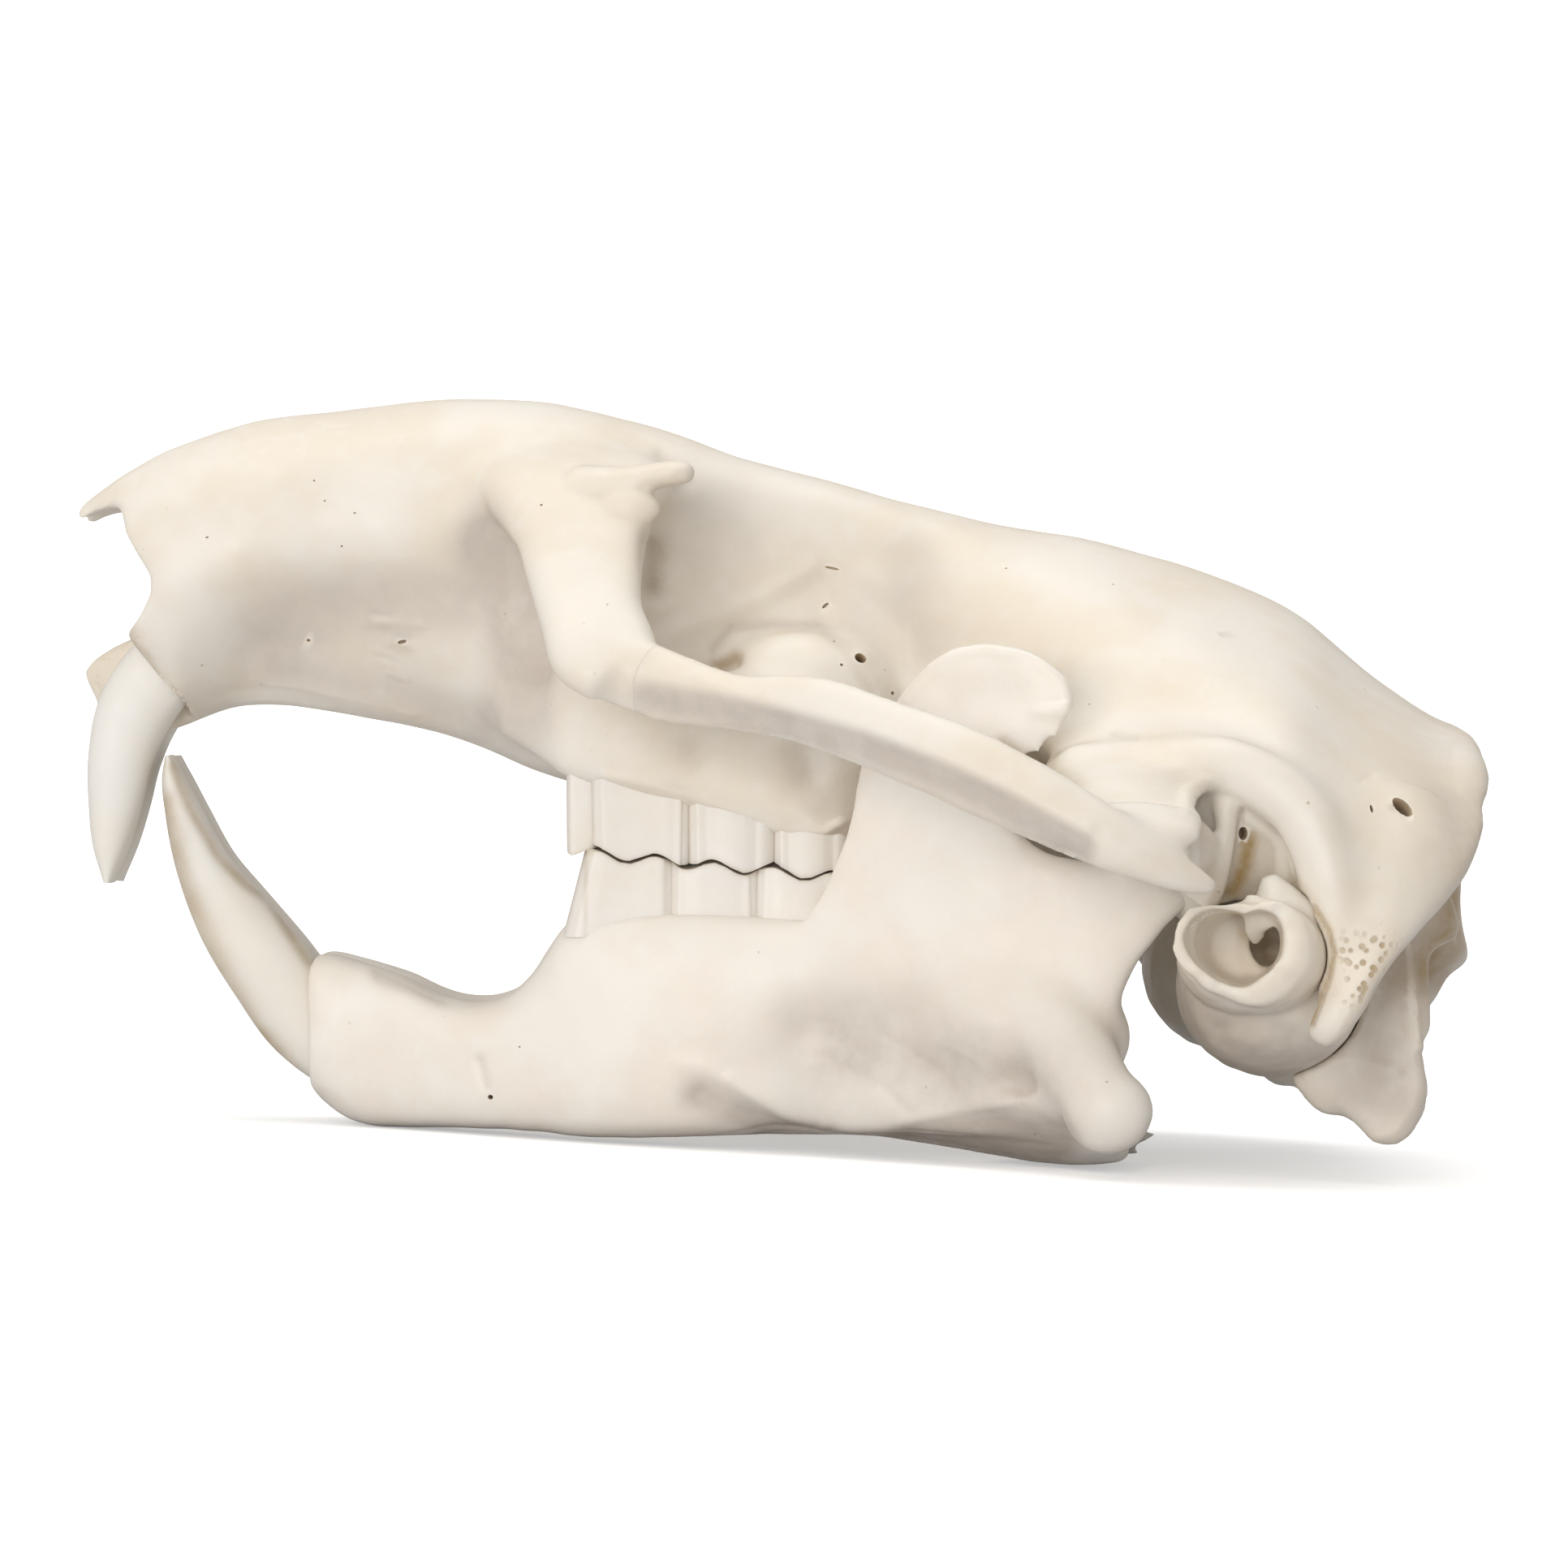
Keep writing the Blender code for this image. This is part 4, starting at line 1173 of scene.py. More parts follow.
    lacrimal_tongue: tuple = (
        (-9.6, -8.8, 31.9, 1.6, 1.4), (-7.8, -9.7, 32.2, 1.3, 1.0), (-6.6, -10.2, 32.5, 1.05, 0.72),
        (-5.7, -10.4, 32.7, 0.95, 0.6), (-4.9, -10.5, 32.76, 0.85, 0.55), (-4.4, -10.5, 32.78, 0.55, 0.4),
        (-4.2, -10.5, 32.78, 0.2, 0.15),
    )
    lower_knob: tuple = ((-7.3, -10.8, 31.1), (1.5, 0.75, 0.9))
    nose_front: tuple = (
        (-29.5, 0.0, 23.8, 4.2, 3.0), (-31.8, 0.0, 23.8, 3.9, 2.0), (-33.2, 0.0, 23.7, 2.6, 1.4),
        (-34.0, 0.0, 23.5, 1.7, 1.0), (-34.4, 0.0, 23.4, 0.9, 0.6),
    )
    pterygoid: tuple = (
        (7.4, -3.4, 14.6, 0.8, 2.2), (9.6, -3.4, 12.8, 0.6, 2.6), (12.0, -3.6, 11.6, 0.6, 2.2),
        (14.6, -4.6, 11.2, 0.6, 1.2),
    )
    paroccipital: tuple = (
        (26.7, -11.0, 10.5, 3.8, 2.2), (26.8, -12.2, 7.0, 3.9, 1.3), (27.3, -12.8, 4.7, 3.4, 1.0),
        (28.2, -13.2, 3.2, 2.3, 0.9), (28.3, -13.5, 2.0, 1.6, 0.8), (28.2, -13.7, 1.0, 0.7, 0.5),
    )
    nose_opening: tuple = (
        (-36.5, 31.0), (-34.9, 30.95), (-34.5, 30.92), (-34.15, 31.08), (-33.85, 31.26), (-33.5, 31.42),
        (-33.0, 31.55), (-32.7, 31.68), (-32.5, 31.55), (-32.35, 31.7), (-32.05, 31.0), (-31.85, 30.1),
        (-31.1, 28.9), (-30.55, 28.1), (-30.55, 27.2), (-31.1, 26.2), (-31.9, 25.2), (-33.0, 24.7),
        (-33.9, 24.15), (-34.4, 23.6), (-36.5, 23.4),
    )
    nose_tip: tuple = (
        (-36.5, 30.9), (-34.85, 30.95), (-34.5, 31.55), (-34.2, 31.95), (-33.8, 32.3), (-33.8, 33.6), (-36.5, 33.6),
    )
    socket_rim: tuple = ((-31.9, 25.3), (-28.6, 20.7), (-29.0, 19.4), (-38.0, 19.4), (-38.0, 25.3))
    nose_hollow: tuple = (
        (-36.0, 0.0, 28.0, 4.6, 3.4), (-33.0, 0.0, 28.2, 4.8, 3.2), (-31.0, 0.0, 29.1, 4.9, 3.0),
        (-28.0, 0.0, 30.7, 5.0, 3.2), (-24.0, 0.0, 31.4, 4.4, 2.8), (-21.0, 0.0, 31.4, 1.6, 1.2),
    )
    spine_hole: tuple = (
        (38.0, 0.0, 11.4, 4.4, 3.8), (32.6, 0.0, 12.0, 4.2, 3.7), (28.0, 0.0, 13.4, 4.6, 4.0),
        (22.0, 0.0, 16.2, 5.4, 4.8), (18.0, 0.0, 17.6, 3.0, 2.6),
    )
    temporal_hole: tuple = (
        (19.4, 12.4), (19.2, 13.8), (18.6, 15.4), (18.5, 16.5), (18.8, 17.3), (19.5, 17.7), (20.4, 17.6),
        (21.4, 16.9), (22.3, 15.8), (22.9, 14.6), (23.3, 13.4), (23.4, 12.2), (21.4, 11.4),
    )
    temple_strut: tuple = (
        (20.4, -17.8, 17.8, 0.9, 0.7), (20.35, -18.3, 16.4, 0.55, 0.5), (20.3, -18.5, 15.2, 0.48, 0.42),
        (20.0, -18.6, 14.2, 0.6, 0.42), (19.5, -18.6, 13.3, 0.9, 0.5), (19.0, -18.4, 12.6, 1.0, 0.6),
    )
    temple_wall: tuple = ((20.4, -15.0, 15.2), (3.8, 2.9, 4.2))
    temple_knob: tuple = ((18.9, -19.0, 15.0), (0.95, 1.1, 1.4))
    arch_cuts: tuple = (
        ((-6.2, -16.8, 23.1), (0.004, 3.5, 3.5), -34, 18),
        ((16.0, -23.3, 15.6), (5.0, 0.03, 5.0), 0, 0),
    )
    teeth: tuple = (
        CheekTooth("p3", -9.6, -7.35, 1.6, 3.0, ((250, 0.03, 0.3),)),
        CheekTooth("p4", -6.8, -7.9, 4.75, 3.5, ((240, 0.04, 0.12), (268, -0.05, 0.22), (300, 0.05, 0.1))),
        CheekTooth("m1", -2.5, -8.0, 4.2, 3.4,
                   ((240, 0.04, 0.12), (254, -0.03, 0.1), (270, 0.07, 0.1), (286, -0.03, 0.1))),
        CheekTooth("m2", 1.3, -7.9, 3.75, 3.3,
                   ((240, 0.04, 0.12), (254, -0.03, 0.1), (270, 0.07, 0.1), (286, -0.03, 0.1))),
        CheekTooth("m3", 4.5, -7.5, 3.4, 3.1, ((268, 0.09, 0.1),)),
    )
    marks: tuple = (
        # broad hollow of the snout's side, which turns its lower half inwards
        Mark("hollow of the snout's side", ((350, 770), (430, 748), (540, 738), (610, 730)), 84, -1.1,
             deep=(1, 9.2), fade=1.0),
        Mark("shade along the hollow", ((330, 790), (370, 762), (440, 742), (540, 738), (610, 745),
             (640, 800), (640, 880)), 46, 0.0, shade=0.65, deep=(0.5, 9.6), edge=3.0),
        Mark("shade under the hollow", ((370, 826), (480, 846), (590, 886)), 26, 0.0, shade=0.5,
             deep=(0.5, 9.6)),
        Mark("shade before the cheek root", ((600, 668), (636, 704), (658, 750), (664, 800)), 38, -0.15,
             shade=1.5, deep=(1, 10.5)),
        Mark("lower edge of the snout", ((330, 840), (400, 852), (480, 880), (560, 908)), 24, 0.2, deep=(1, 14)),
        # soft edge between the nose's roof and its side, and the dip behind the upper lip of its opening
        Mark("edge of the nose's roof", ((330, 590), (450, 548), (580, 530), (730, 528)), 26, 0.10),
        Mark("dip behind the nose's lip", ((225, 655), (262, 646)), 26, -0.2),
        # lips of the nerve slit and scars on the snout, with painted shade in the slit's floor, the upper scar and
        # the scratch, of which the floor and the scratch are also stained
        Mark("upper lip of the nerve slit", ((459, 781), (485, 779), (513, 783)), 6, 0.09),
        Mark("floor of the nerve slit", ((484, 797), (500, 800)), 6, -0.10, 0.25, 0.2),
        Mark("upper scar", ((462, 818), (486, 824)), 4, -0.06, shade=0.15),
        Mark("middle scar", ((478, 834), (500, 842)), 4, 0.06),
        Mark("lower scar", ((470, 856), (488, 872), (510, 880)), 4, 0.07),
        Mark("scratch over the nerve slit", ((452, 770), (476, 774)), 4, -0.06, 0.1, 0.15),
        # lip behind the incisor
        Mark("lip behind the incisor", ((340, 852), (400, 858), (470, 878), (560, 912)), 9, 0.1, deep=(1, 14)),
        # rough, tan bone round the incisor's socket, and its tan line, stained with a little painted shade
        Mark("rough bone over the socket", ((156, 782), (130, 800), (114, 824), (125, 858)), 15, 0.0, 0.42,
             spongy=0.25),
        Mark("bevel of the socket", ((158, 784), (184, 804), (200, 836), (216, 860)), 13, -0.15, 0.08,
             deep=(2.0, 14)),
        Mark("tan line round the socket", ((154, 788), (178, 806), (194, 838), (210, 862)), 6, 0.0, 0.4, 0.1,
             deep=(1.0, 14)),
        # keel of the arch, and painted shade on its lower face
        Mark("keel of the arch", ((870, 846), (960, 872), (1065, 900), (1182, 945), (1265, 985),
             (1340, 1020)), 10, 0.12, deep=(14, 30)),
        Mark("painted shade on the arch's lower face", ((800, 862), (870, 872), (960, 892), (1065, 921), (1140, 950),
             (1230, 990), (1330, 1048)), 20, -0.3, shade=1.0, deep=(13, 30), edge=3.0),
        # ragged step on the arch's lower edge
        Mark("ragged step under the arch", ((748, 866), (775, 874), (806, 888)), 9, 0.14, deep=(13, 30)),
        # eye socket: pocket behind the rim, ridge, slits and nerve holes, with painted shade in the pocket, the
        # crease, the hollow, the back wall, the groove and the nook behind the cheek root; the pocket and the nook
        # are also stained
        Mark("pocket behind the eye's rim", ((806, 672), (804, 720)), 17, -0.3, 0.22, 0.35, spongy=0.2,
             deep=(2, 13)),
        Mark("crease under the tongue of bone", ((815, 560), (847, 594), (830, 600)), 9, -0.1, shade=0.2,
             deep=(2, 9.4)),
        Mark("low ridge behind the rim", ((798, 750), (823, 746)), 6, 0.12, deep=(2, 11)),
        Mark("ridge across the eye socket", ((800, 790), (850, 770), (940, 735), (1000, 700)), 12, 0.12,
             deep=(1, 12)),
        Mark("hollow over that ridge", ((850, 690), (920, 670)), 34, -0.15, shade=0.12, deep=(1, 12)),
        Mark("shade of the eye socket", ((860, 640), (880, 740), (960, 700), (1090, 740)), 60, 0.0, 0.02, 0.3,
             deep=(1, 12)),
        Mark("back wall of the eye socket", ((1130, 690), (1122, 760), (1140, 800)), 34, -0.3, shade=0.3,
             deep=(1, 14)),
        Mark("groove over the tooth roots", ((880, 800), (900, 775), (950, 768), (1010, 770), (1046, 800),
             (1075, 850)), 8, -0.12, shade=0.15, deep=(1, 14)),
        Mark("rim of the round nerve hole", ((1061, 810),), 14, 0.12, deep=(1, 14)),
        Mark("stained nook in painted shade behind the cheek root", ((886, 820), (905, 812)), 9, -0.4, 0.5, 0.4, deep=(1, 14)),
        # tooth-bearing bone, with painted shade in the back dent and over the teeth
        Mark("front dent over the teeth", ((862, 925), (868, 934)), 22, -0.14, deep=(5, 14)),
        Mark("back dent over the teeth", ((992, 934), (998, 946)), 24, -0.2, shade=0.08, deep=(5, 14)),
        Mark("shade over the teeth", ((705, 860), (740, 900), (860, 930), (1000, 960)), 26, 0.0, 0.03, 0.16,
             deep=(5, 14)),
        Mark("line of the tooth sockets", ((744, 954), (823, 971), (877, 988), (907, 1000), (932, 1017),
             (973, 1025), (1015, 1025), (1040, 1013)), 6, 0.14, deep=(5, 14)),
        # braincase, with painted shade in the scratch and the crease, and painted light on the field behind the
        # temple
        Mark("scratch on the braincase", ((1373, 903), (1400, 907)), 5, -0.1, shade=0.2),
        Mark("painted light behind the temple", ((1640, 860), (1665, 960), (1690, 1080)), 110, 0.0, 0.0, -0.9,
             deep=(4, 24)),
        Mark("crease by the small nerve hole", ((1677, 962), (1690, 955)), 5, -0.05, shade=0.1),
        # rim of the opening over the ear; painted light on the wall inside, and stain with a little painted shade on
        # the brown band and the rim's tan foot
        Mark("rim of the temple's opening", ((1462, 1000), (1465, 976), (1481, 964), (1500, 964), (1530, 978),
             (1560, 1003), (1583, 1038), (1597, 1072), (1604, 1095)), 9, 0.14, deep=(15, 24)),
        Mark("painted light on the temple's wall", ((1475, 985), (1530, 1010), (1560, 1060)), 46, 0.0, 0.02, -0.4,
             deep=(10, 19.6), fade=0.3),
        Mark("brown band in the temple", ((1538, 1030), (1535, 1062), (1518, 1096), (1492, 1106)), 10, 0.0,
             0.9, 0.2, deep=(10, 18.9), fade=0.4),
        Mark("tan foot of the rim", ((1596, 1086), (1608, 1106)), 7, 0.0, 0.4, 0.2, deep=(10, 24)),
        Mark("tan seam behind the ear tube", ((1619, 1118), (1637, 1147), (1644, 1175), (1637, 1206),
             (1625, 1237), (1616, 1262)), 3.5, -0.16, 0.75, deep=(10, 24)),
        Mark("spongy field behind the ear", ((1668, 1172), (1690, 1190), (1672, 1220), (1700, 1165)), 17, 0.0,
             spongy=1.0, deep=(10, 24)),
        # tan bone deep under the arch and beside the jaw's upper blade, stained, with a little painted shade
        Mark("tan bone under the arch", ((1262, 1018), (1300, 1042), (1335, 1052), (1371, 1050),
             (1405, 1040)), 13, 0.0, 0.6, 0.2, deep=(6, 22)),
        Mark("tan bone beside the jaw's blade", ((1265, 925), (1300, 955), (1320, 975)), 16, 0.0, 0.5, 0.2,
             deep=(4, 22)),
        # nape and its ribs: painted shade on the nape, its hollows, its edge and below the crest, with stain on the
        # nape and its brown edge
        Mark("stained nape in painted shade", ((2.0, 13.0), (15.0, 12.0)), 7.5, 0.0, 0.25, 0.85, side=Side.BACK),
        Mark("outer hollow of the nape", ((16.5, 9.0), (12.5, 16.0)), 1.7, -0.6, shade=0.35, side=Side.BACK),
        Mark("inner hollow of the nape", ((9.0, 9.5), (7.5, 17.0)), 1.5, -0.5, shade=0.3, side=Side.BACK),
        Mark("brown edge of the nape in painted shade", ((1760, 1200), (1786, 1125), (1806, 1050)), 24, 0.0, 0.5, 1.0,
             deep=(0.0, 15.5)),
        Mark("shade below the crest", ((1700, 1240), (1740, 1180)), 16, 0.0, 0.1, 0.6, deep=(0.0, 15.5)),
        Mark("rib of the nape", ((1740, 1165), (1744, 1230), (1748, 1290)), 5, 0.2, deep=(6, 18)),
        # hollow face, rim and ribs of the blade behind the ear, with painted shade over and on the blade
        Mark("hollow face of the blade", ((1712, 1338), (1706, 1360)), 30, -0.3, deep=(8, 18)),
        Mark("rim of the blade", ((1655, 1362), (1672, 1390), (1693, 1403), (1718, 1396), (1744, 1366),
             (1752, 1334), (1746, 1290)), 7, 0.08, deep=(8, 18)),
        Mark("rib across the blade", ((1610, 1322), (1645, 1306), (1685, 1308), (1722, 1320)), 8, 0.1,
             deep=(8, 18)),
        Mark("hollow over the blade", ((1690, 1260), (1712, 1290)), 30, -0.2, shade=0.45, deep=(8, 18)),
        Mark("shade of the blade", ((1670, 1340), (1715, 1350)), 50, 0.0, shade=0.95, deep=(8, 18)),
    )
    holes: tuple = (
        Hole("slit on the snout", (495, 791), 0.24, 0.09, 0.25, 14),
        Hole("round nerve hole", (1061, 810), 0.32, 0.30, 1.2),
        Hole("oval hole over the nape", (1728, 993), 0.36, 0.62, 1.4, 34),
        Hole("slit beside the oval hole", (1690, 996), 0.08, 0.24, 0.3),
        Hole("upper slit in the eye socket", (1025, 700), 0.36, 0.06, 0.12, -12),
        Hole("lower slit in the eye socket", (1017, 746), 0.2, 0.08, 0.2, 40),
        Hole("pore over the nerve hole", (1028, 790), 0.08, 0.08, 0.2),
        Hole("pore by the nerve hole", (1037, 819), 0.08, 0.08, 0.2),
        Hole("pore behind the tooth roots", (1100, 854), 0.1, 0.1, 0.2),
        Hole("first pore on the snout", (387, 592), 0.05, 0.05, 0.1),
        Hole("second pore on the snout", (400, 617), 0.05, 0.05, 0.1),
        Hole("third pore on the snout", (437, 632), 0.05, 0.05, 0.1),
        Hole("fourth pore on the snout", (421, 673), 0.05, 0.05, 0.1),
        Hole("pore on the cheek root", (667, 622), 0.06, 0.06, 0.15),
        Hole("pore behind the nose", (255, 662), 0.08, 0.05, 0.1),
        Hole("pore in the snout's hollow", (380, 789), 0.10, 0.08, 0.15),
        Hole("pore on the braincase", (1240, 700), 0.05, 0.05, 0.1),
        Hole("dark hole in the temple", (1532, 1027), 0.22, 0.32, 1.0),
    )

    def trunk(self, count: int = 170, sides: int = 140) -> Body:
        """The body from nose to nape: half sections whose width changes with height.

        Each section is a superellipse. Its half-width goes from the middle value to the upper or lower
        one by a power of the height, width_fall. The nape's sides are swept forward by crest_sweep: a
        share of the square of y, which starts at the second number and is whole the third one further.

        Args:
            count: sections from nose to nape.
            sides: points round each.

        Returns:
            The body.
        """
        rows = along([(x, 0, 0, *rest) for x, *rest in self.stations], count)
        x, top, low, wide_top, wide_mid, wide_low, square = rows[:, [0, 3, 4, 5, 6, 7, 8]].T[:, :, None]
        turn = np.linspace(0, 2 * math.pi, sides, endpoint=False)[None, :]
        v = np.sin(turn)
        up, down = np.clip(v, 0, 1) ** self.width_fall, np.clip(-v, 0, 1) ** self.width_fall
        y = (wide_mid + (wide_top - wide_mid) * up + (wide_low - wide_mid) * down) * power(np.cos(turn), square)
        z = (top + low) / 2 + (top - low) / 2 * power(v, square)
        sweep, start, run = self.crest_sweep
        x = x - sweep * np.clip((x - start) / run, 0, 1) * y**2
        return Body.loft(np.stack([x, y, z + 0 * y], axis=-1), "cranium")

    def nape_room(self, count: int = 60) -> Body:
        """The room behind the crest's edge, where the nape's side lies nearer the middle than the edge.

        Across the edge, towards the back, its inner wall goes from the edge to the nape's own
        half-width by the shares in nape_fall; the outer wall lies clear of the bone, at nape_clear.

        Args:
            count: points along the edge.

        Returns:
            The room as a closed body.
        """
        edge = along([(*point, 0, 0) for point in self.crest_edge], count)[:, :3]
        ahead = np.gradient(edge, axis=0)[:, [0, 2]]
        ahead /= np.linalg.norm(ahead, axis=1, keepdims=True)
        back = np.stack([-ahead[:, 1], ahead[:, 0]], -1)
        rings = []
        for away, fall in (*self.nape_fall, (self.nape_fall[-1][0], None), (self.nape_fall[0][0], None)):
            flat = edge[:, [0, 2]] + away * back
            side = np.full(count, self.nape_clear)
            if fall is not None:
                side = edge[:, 1] + fall * (-self.nape_width - edge[:, 1])
            rings.append(np.stack([flat[:, 0], side, flat[:, 1]], -1))
        return Body.loft(np.stack(rings, axis=1), "nape room")

    def mass(self) -> Body:
        """The trunk with its roots, arches and knobs, joined and rounded where they meet.

        Returns:
            The body, before anything is opened in it.
        """
        pieces = (
            Body.sweep(self.cheek_root, "cheek root", up=(1, 0, 0), square=0.75),
            Body.sweep(self.cheek_arch, "cheek arch", square=1.35),
            Body.sweep(self.squamosal_root, "squamosal root"),
            Body.sweep(self.tooth_bearing, "tooth bearing", square=0.5, upright=True),
            Body.ball(*self.root_capsule, "root capsule"),
            Body.ball(*self.temple_wall, "temple wall"),
            Body.sweep(self.occiput_side, "crest"),
            Body.sweep(self.mastoid, "mastoid", up=(1, 0, 0)),
            Body.sweep(self.temporal_rim, "temporal rim", up=(0, 1, 0)),
            Body.sweep(self.lacrimal_base, "lacrimal base"),
            Body.sweep(self.pterygoid, "pterygoid"),
        )
        joined = [*Body.pairs(pieces), Body.sweep(self.nose_front, "nose front")]
        body = self.trunk().join(joined).cut(self.nape_room().both())
        late = (Body.sweep(self.paroccipital, "paroccipital", up=(0, 1, 0)), Body.ball(*self.condyle, "condyle"))
        body.join([Body.ball(*self.nape, "nape"), *Body.pairs(late)])
        return body.reskin(self.voxel).relax(*self.rounding)

    def open(self, body: Body, incisor: Body, ear: Body) -> Body:
        """Cuts the nose, spine and temple openings and the rooms of the incisors and ears.

        Args:
            body: the skull's mass.
            incisor: the left upper incisor.
            ear: the left ear bulla.

        Returns:
            The skull's bone, with the thin processes that are joined last.
        """
        body.cut([
            Body.slab(self.nose_opening, *self.nose_cut, "nose opening"),
            Body.slab(self.nose_tip, *self.nose_cut, "nose tip"),
            Body.sweep(self.spine_hole, "spine hole"),
            *Body.slab(self.temporal_hole, *self.temple_cut, "temporal hole").both(),
            *Body.slab(self.socket_rim, *self.socket_cut, "socket rim").both(),
        ])
        body.cut(incisor.swollen(INCISOR_ROOM).both())
        body.cut([Body.sweep(self.nose_hollow, "nose hollow")])
        body.join(Body.pairs((
            Body.sweep(self.lacrimal_tongue, "lacrimal tongue"),
            Body.ball(*self.lower_knob, "lower knob"),
            Body.sweep(self.temple_strut, "temple strut", up=(0, 1, 0)),
            Body.ball(*self.temple_knob, "temple knob"),
        )))
        body.cut(ear.swollen(self.ear_room).both())
        return body.keep_largest().reskin(self.fine_voxel).relax(*self.finishing)

    def part(self, body: Body) -> tuple:
        """Cuts both cheek arches free with thin sheets.

        Args:
            body: the skull's bone.

        Returns:
            The skull without its arches, and the left arch.
        """
        sheets = [Body.box(middle, half, "arch cut", *turn) for middle, half, *turn in self.arch_cuts]
        found = body.cut(Body.pairs(sheets)).islands()
        arch = next(other for other in found[1:3] if other.place()[:, 1].mean() < 0)
        for other in found[1:]:
            if other is not arch:
                bpy.data.objects.remove(other.obj)
        return found[0], arch

    def build(self, incisor: Body, ear: Body) -> None:
        """Makes the skull's bone, its upper cheek teeth and both arches.

        Args:
            incisor: the left upper incisor.
            ear: the left ear bulla.
        """
        body = self.open(self.mass(), incisor, ear)
        body.roughen(self.swells).carve(self.marks).tone(self.marks)
        skull, arch = self.part(body)
        skull.thin(self.bone_faces).drill(self.holes)
        skull.settle("cranium_bone", ("cranium",), "skull_bone", BONE.material())
        arch.thin(self.arch_faces).settle_pair("zygomatic_arch_bone", "zygomatic_arch", "skull_bone", BONE.material())
        for tooth in self.teeth:
            tooth.build(self.tooth_root, Row.UPPER)


@dataclass
class EarBulla:
    """A bony ear bubble with its short tube, lipped and parted inside.

    The tube and its bore are pipes about middle, which go from an outline at the lip, lip or bore, to an
    ellipse deep inside, base or bore_end: x, z and half sizes. A span is y at the lip and at the ellipse,
    and a bend the power of the way inwards by which the section changes. neck is a depth and its place
    and spread along the tube, neck_way how it fades towards the back and the top, and lip_round how far
    and how deep the lip's edge is rounded.
    """

    voxel: float = 0.13
    finishing: tuple = (3, 3)
    swells: tuple = (Swell(3.0, 0.05, 7), Swell(1.1, 0.02, 8))
    faces: int = 90000
    bubble: tuple = ((22.9, -12.6, 8.6), (4.45, 5.4, 4.35))
    middle: tuple = (20.6, 10.5)
    base: tuple = (22.0, 9.8, 3.7, 2.7)
    bore_end: tuple = (21.3, 10.5, 1.5, 1.5)
    tube_span: tuple = (-21.3, -16.0)
    bore_span: tuple = (-21.45, -17.6)
    tube_bend: float = 0.5
    bore_bend: float = 1.5
    bore_room: float = 0.06
    neck: tuple = (-0.3, 0.26, 0.15)
    neck_way: tuple = (0.3, 0.4)
    lip_round: tuple = (0.15, 0.02)
    lip_ragged: Swell = Swell(1.6, 0.16, 5)
    chamber: tuple = (
        (22.25, -19.0, 10.9, 0.55, 0.9), (22.3, -17.6, 10.6, 0.75, 1.0), (22.6, -16.0, 10.3, 0.9, 1.0),
        (22.8, -14.8, 10.2, 0.4, 0.4),
    )
    lip: tuple = (
        (18.92, 12.64), (18.11, 12.35), (17.78, 11.79), (17.48, 10.50), (17.78, 9.94), (18.59, 9.35), (19.85, 8.54),
        (20.99, 8.13), (22.03, 8.43), (22.95, 9.24), (23.43, 10.28), (23.51, 11.31), (22.95, 12.35), (22.29, 12.85),
        (20.99, 12.46), (19.85, 12.60),
    )
    bore: tuple = (
        (19.03, 12.12), (18.48, 11.68), (18.22, 10.98), (18.48, 10.28), (19.15, 9.57), (20.07, 9.02), (20.99, 8.76),
        (21.81, 9.24), (22.40, 9.83), (22.69, 10.50), (22.69, 11.42), (22.40, 12.01), (21.81, 12.23), (20.99, 11.94),
        (20.10, 12.16), (19.55, 12.23),
    )
    fin: tuple = (
        (23.0, -18.0, 10.4, 2.5, 1.5), (22.8, -18.4, 12.0, 1.75, 1.1), (22.5, -18.7, 13.1, 0.85, 0.75),
        (22.3, -18.8, 13.8, 0.35, 0.4),
    )
    septum: tuple = (
        (22.1, -20.0, 12.7, 1.0, 0.2), (21.9, -19.5, 12.0, 0.85, 0.16), (21.7, -18.9, 11.4, 0.6, 0.14),
        (21.75, -18.3, 10.9, 0.4, 0.13), (21.8, -17.9, 10.6, 0.15, 0.1),
    )
    marks: tuple = (
        # stain and painted shade on the wall and the line inside the tube
        Mark("brown wall inside the tube", ((1538, 1148), (1566, 1172), (1562, 1185)), 15, 0.0, 0.55, 0.3,
             deep=(10, 18.6)),
        Mark("tan line inside the tube", ((1527, 1130), (1530, 1175), (1540, 1210)), 9, 0.0, 0.16, 0.15,
             deep=(10, 20.6)),
        # painted shade on the underside, with a little stain; stain and painted shade on the bubble's front edge;
        # painted light on the tube's wall; painted shade in the crease under the tube
        Mark("painted shade on the underside", ((1440, 1240), (1480, 1290), (1550, 1310), (1610, 1320)), 46, 0.0, 0.08, 1.0,
             deep=(6, 18.8), edge=3.0),
        Mark("tan front edge of the bubble", ((1416, 1190), (1424, 1240)), 12, 0.0, 0.55, 0.2, deep=(6, 19)),
        Mark("painted light on the tube's wall", ((1480, 1150), (1520, 1170)), 34, 0.0, 0.04, -0.6, deep=(16, 24)),
        Mark("crease under the tube", ((1500, 1268), (1540, 1262), (1590, 1275)), 14, -0.2, shade=0.2,
             deep=(6, 19)),
    )

    def reach(self, outline: tuple, turn: np.ndarray) -> np.ndarray:
        """How far an outline lies from the tube's middle, read between its points.

        Args:
            outline: rows of x and z.
            turn: the turns to read it at.

        Returns:
            A distance for each turn.
        """
        x, z = (np.asarray(outline) - np.asarray(self.middle)).T
        angle = np.arctan2(z, x)
        order = np.argsort(angle)
        return np.interp(turn, angle[order], np.hypot(x, z)[order], period=2 * math.pi)

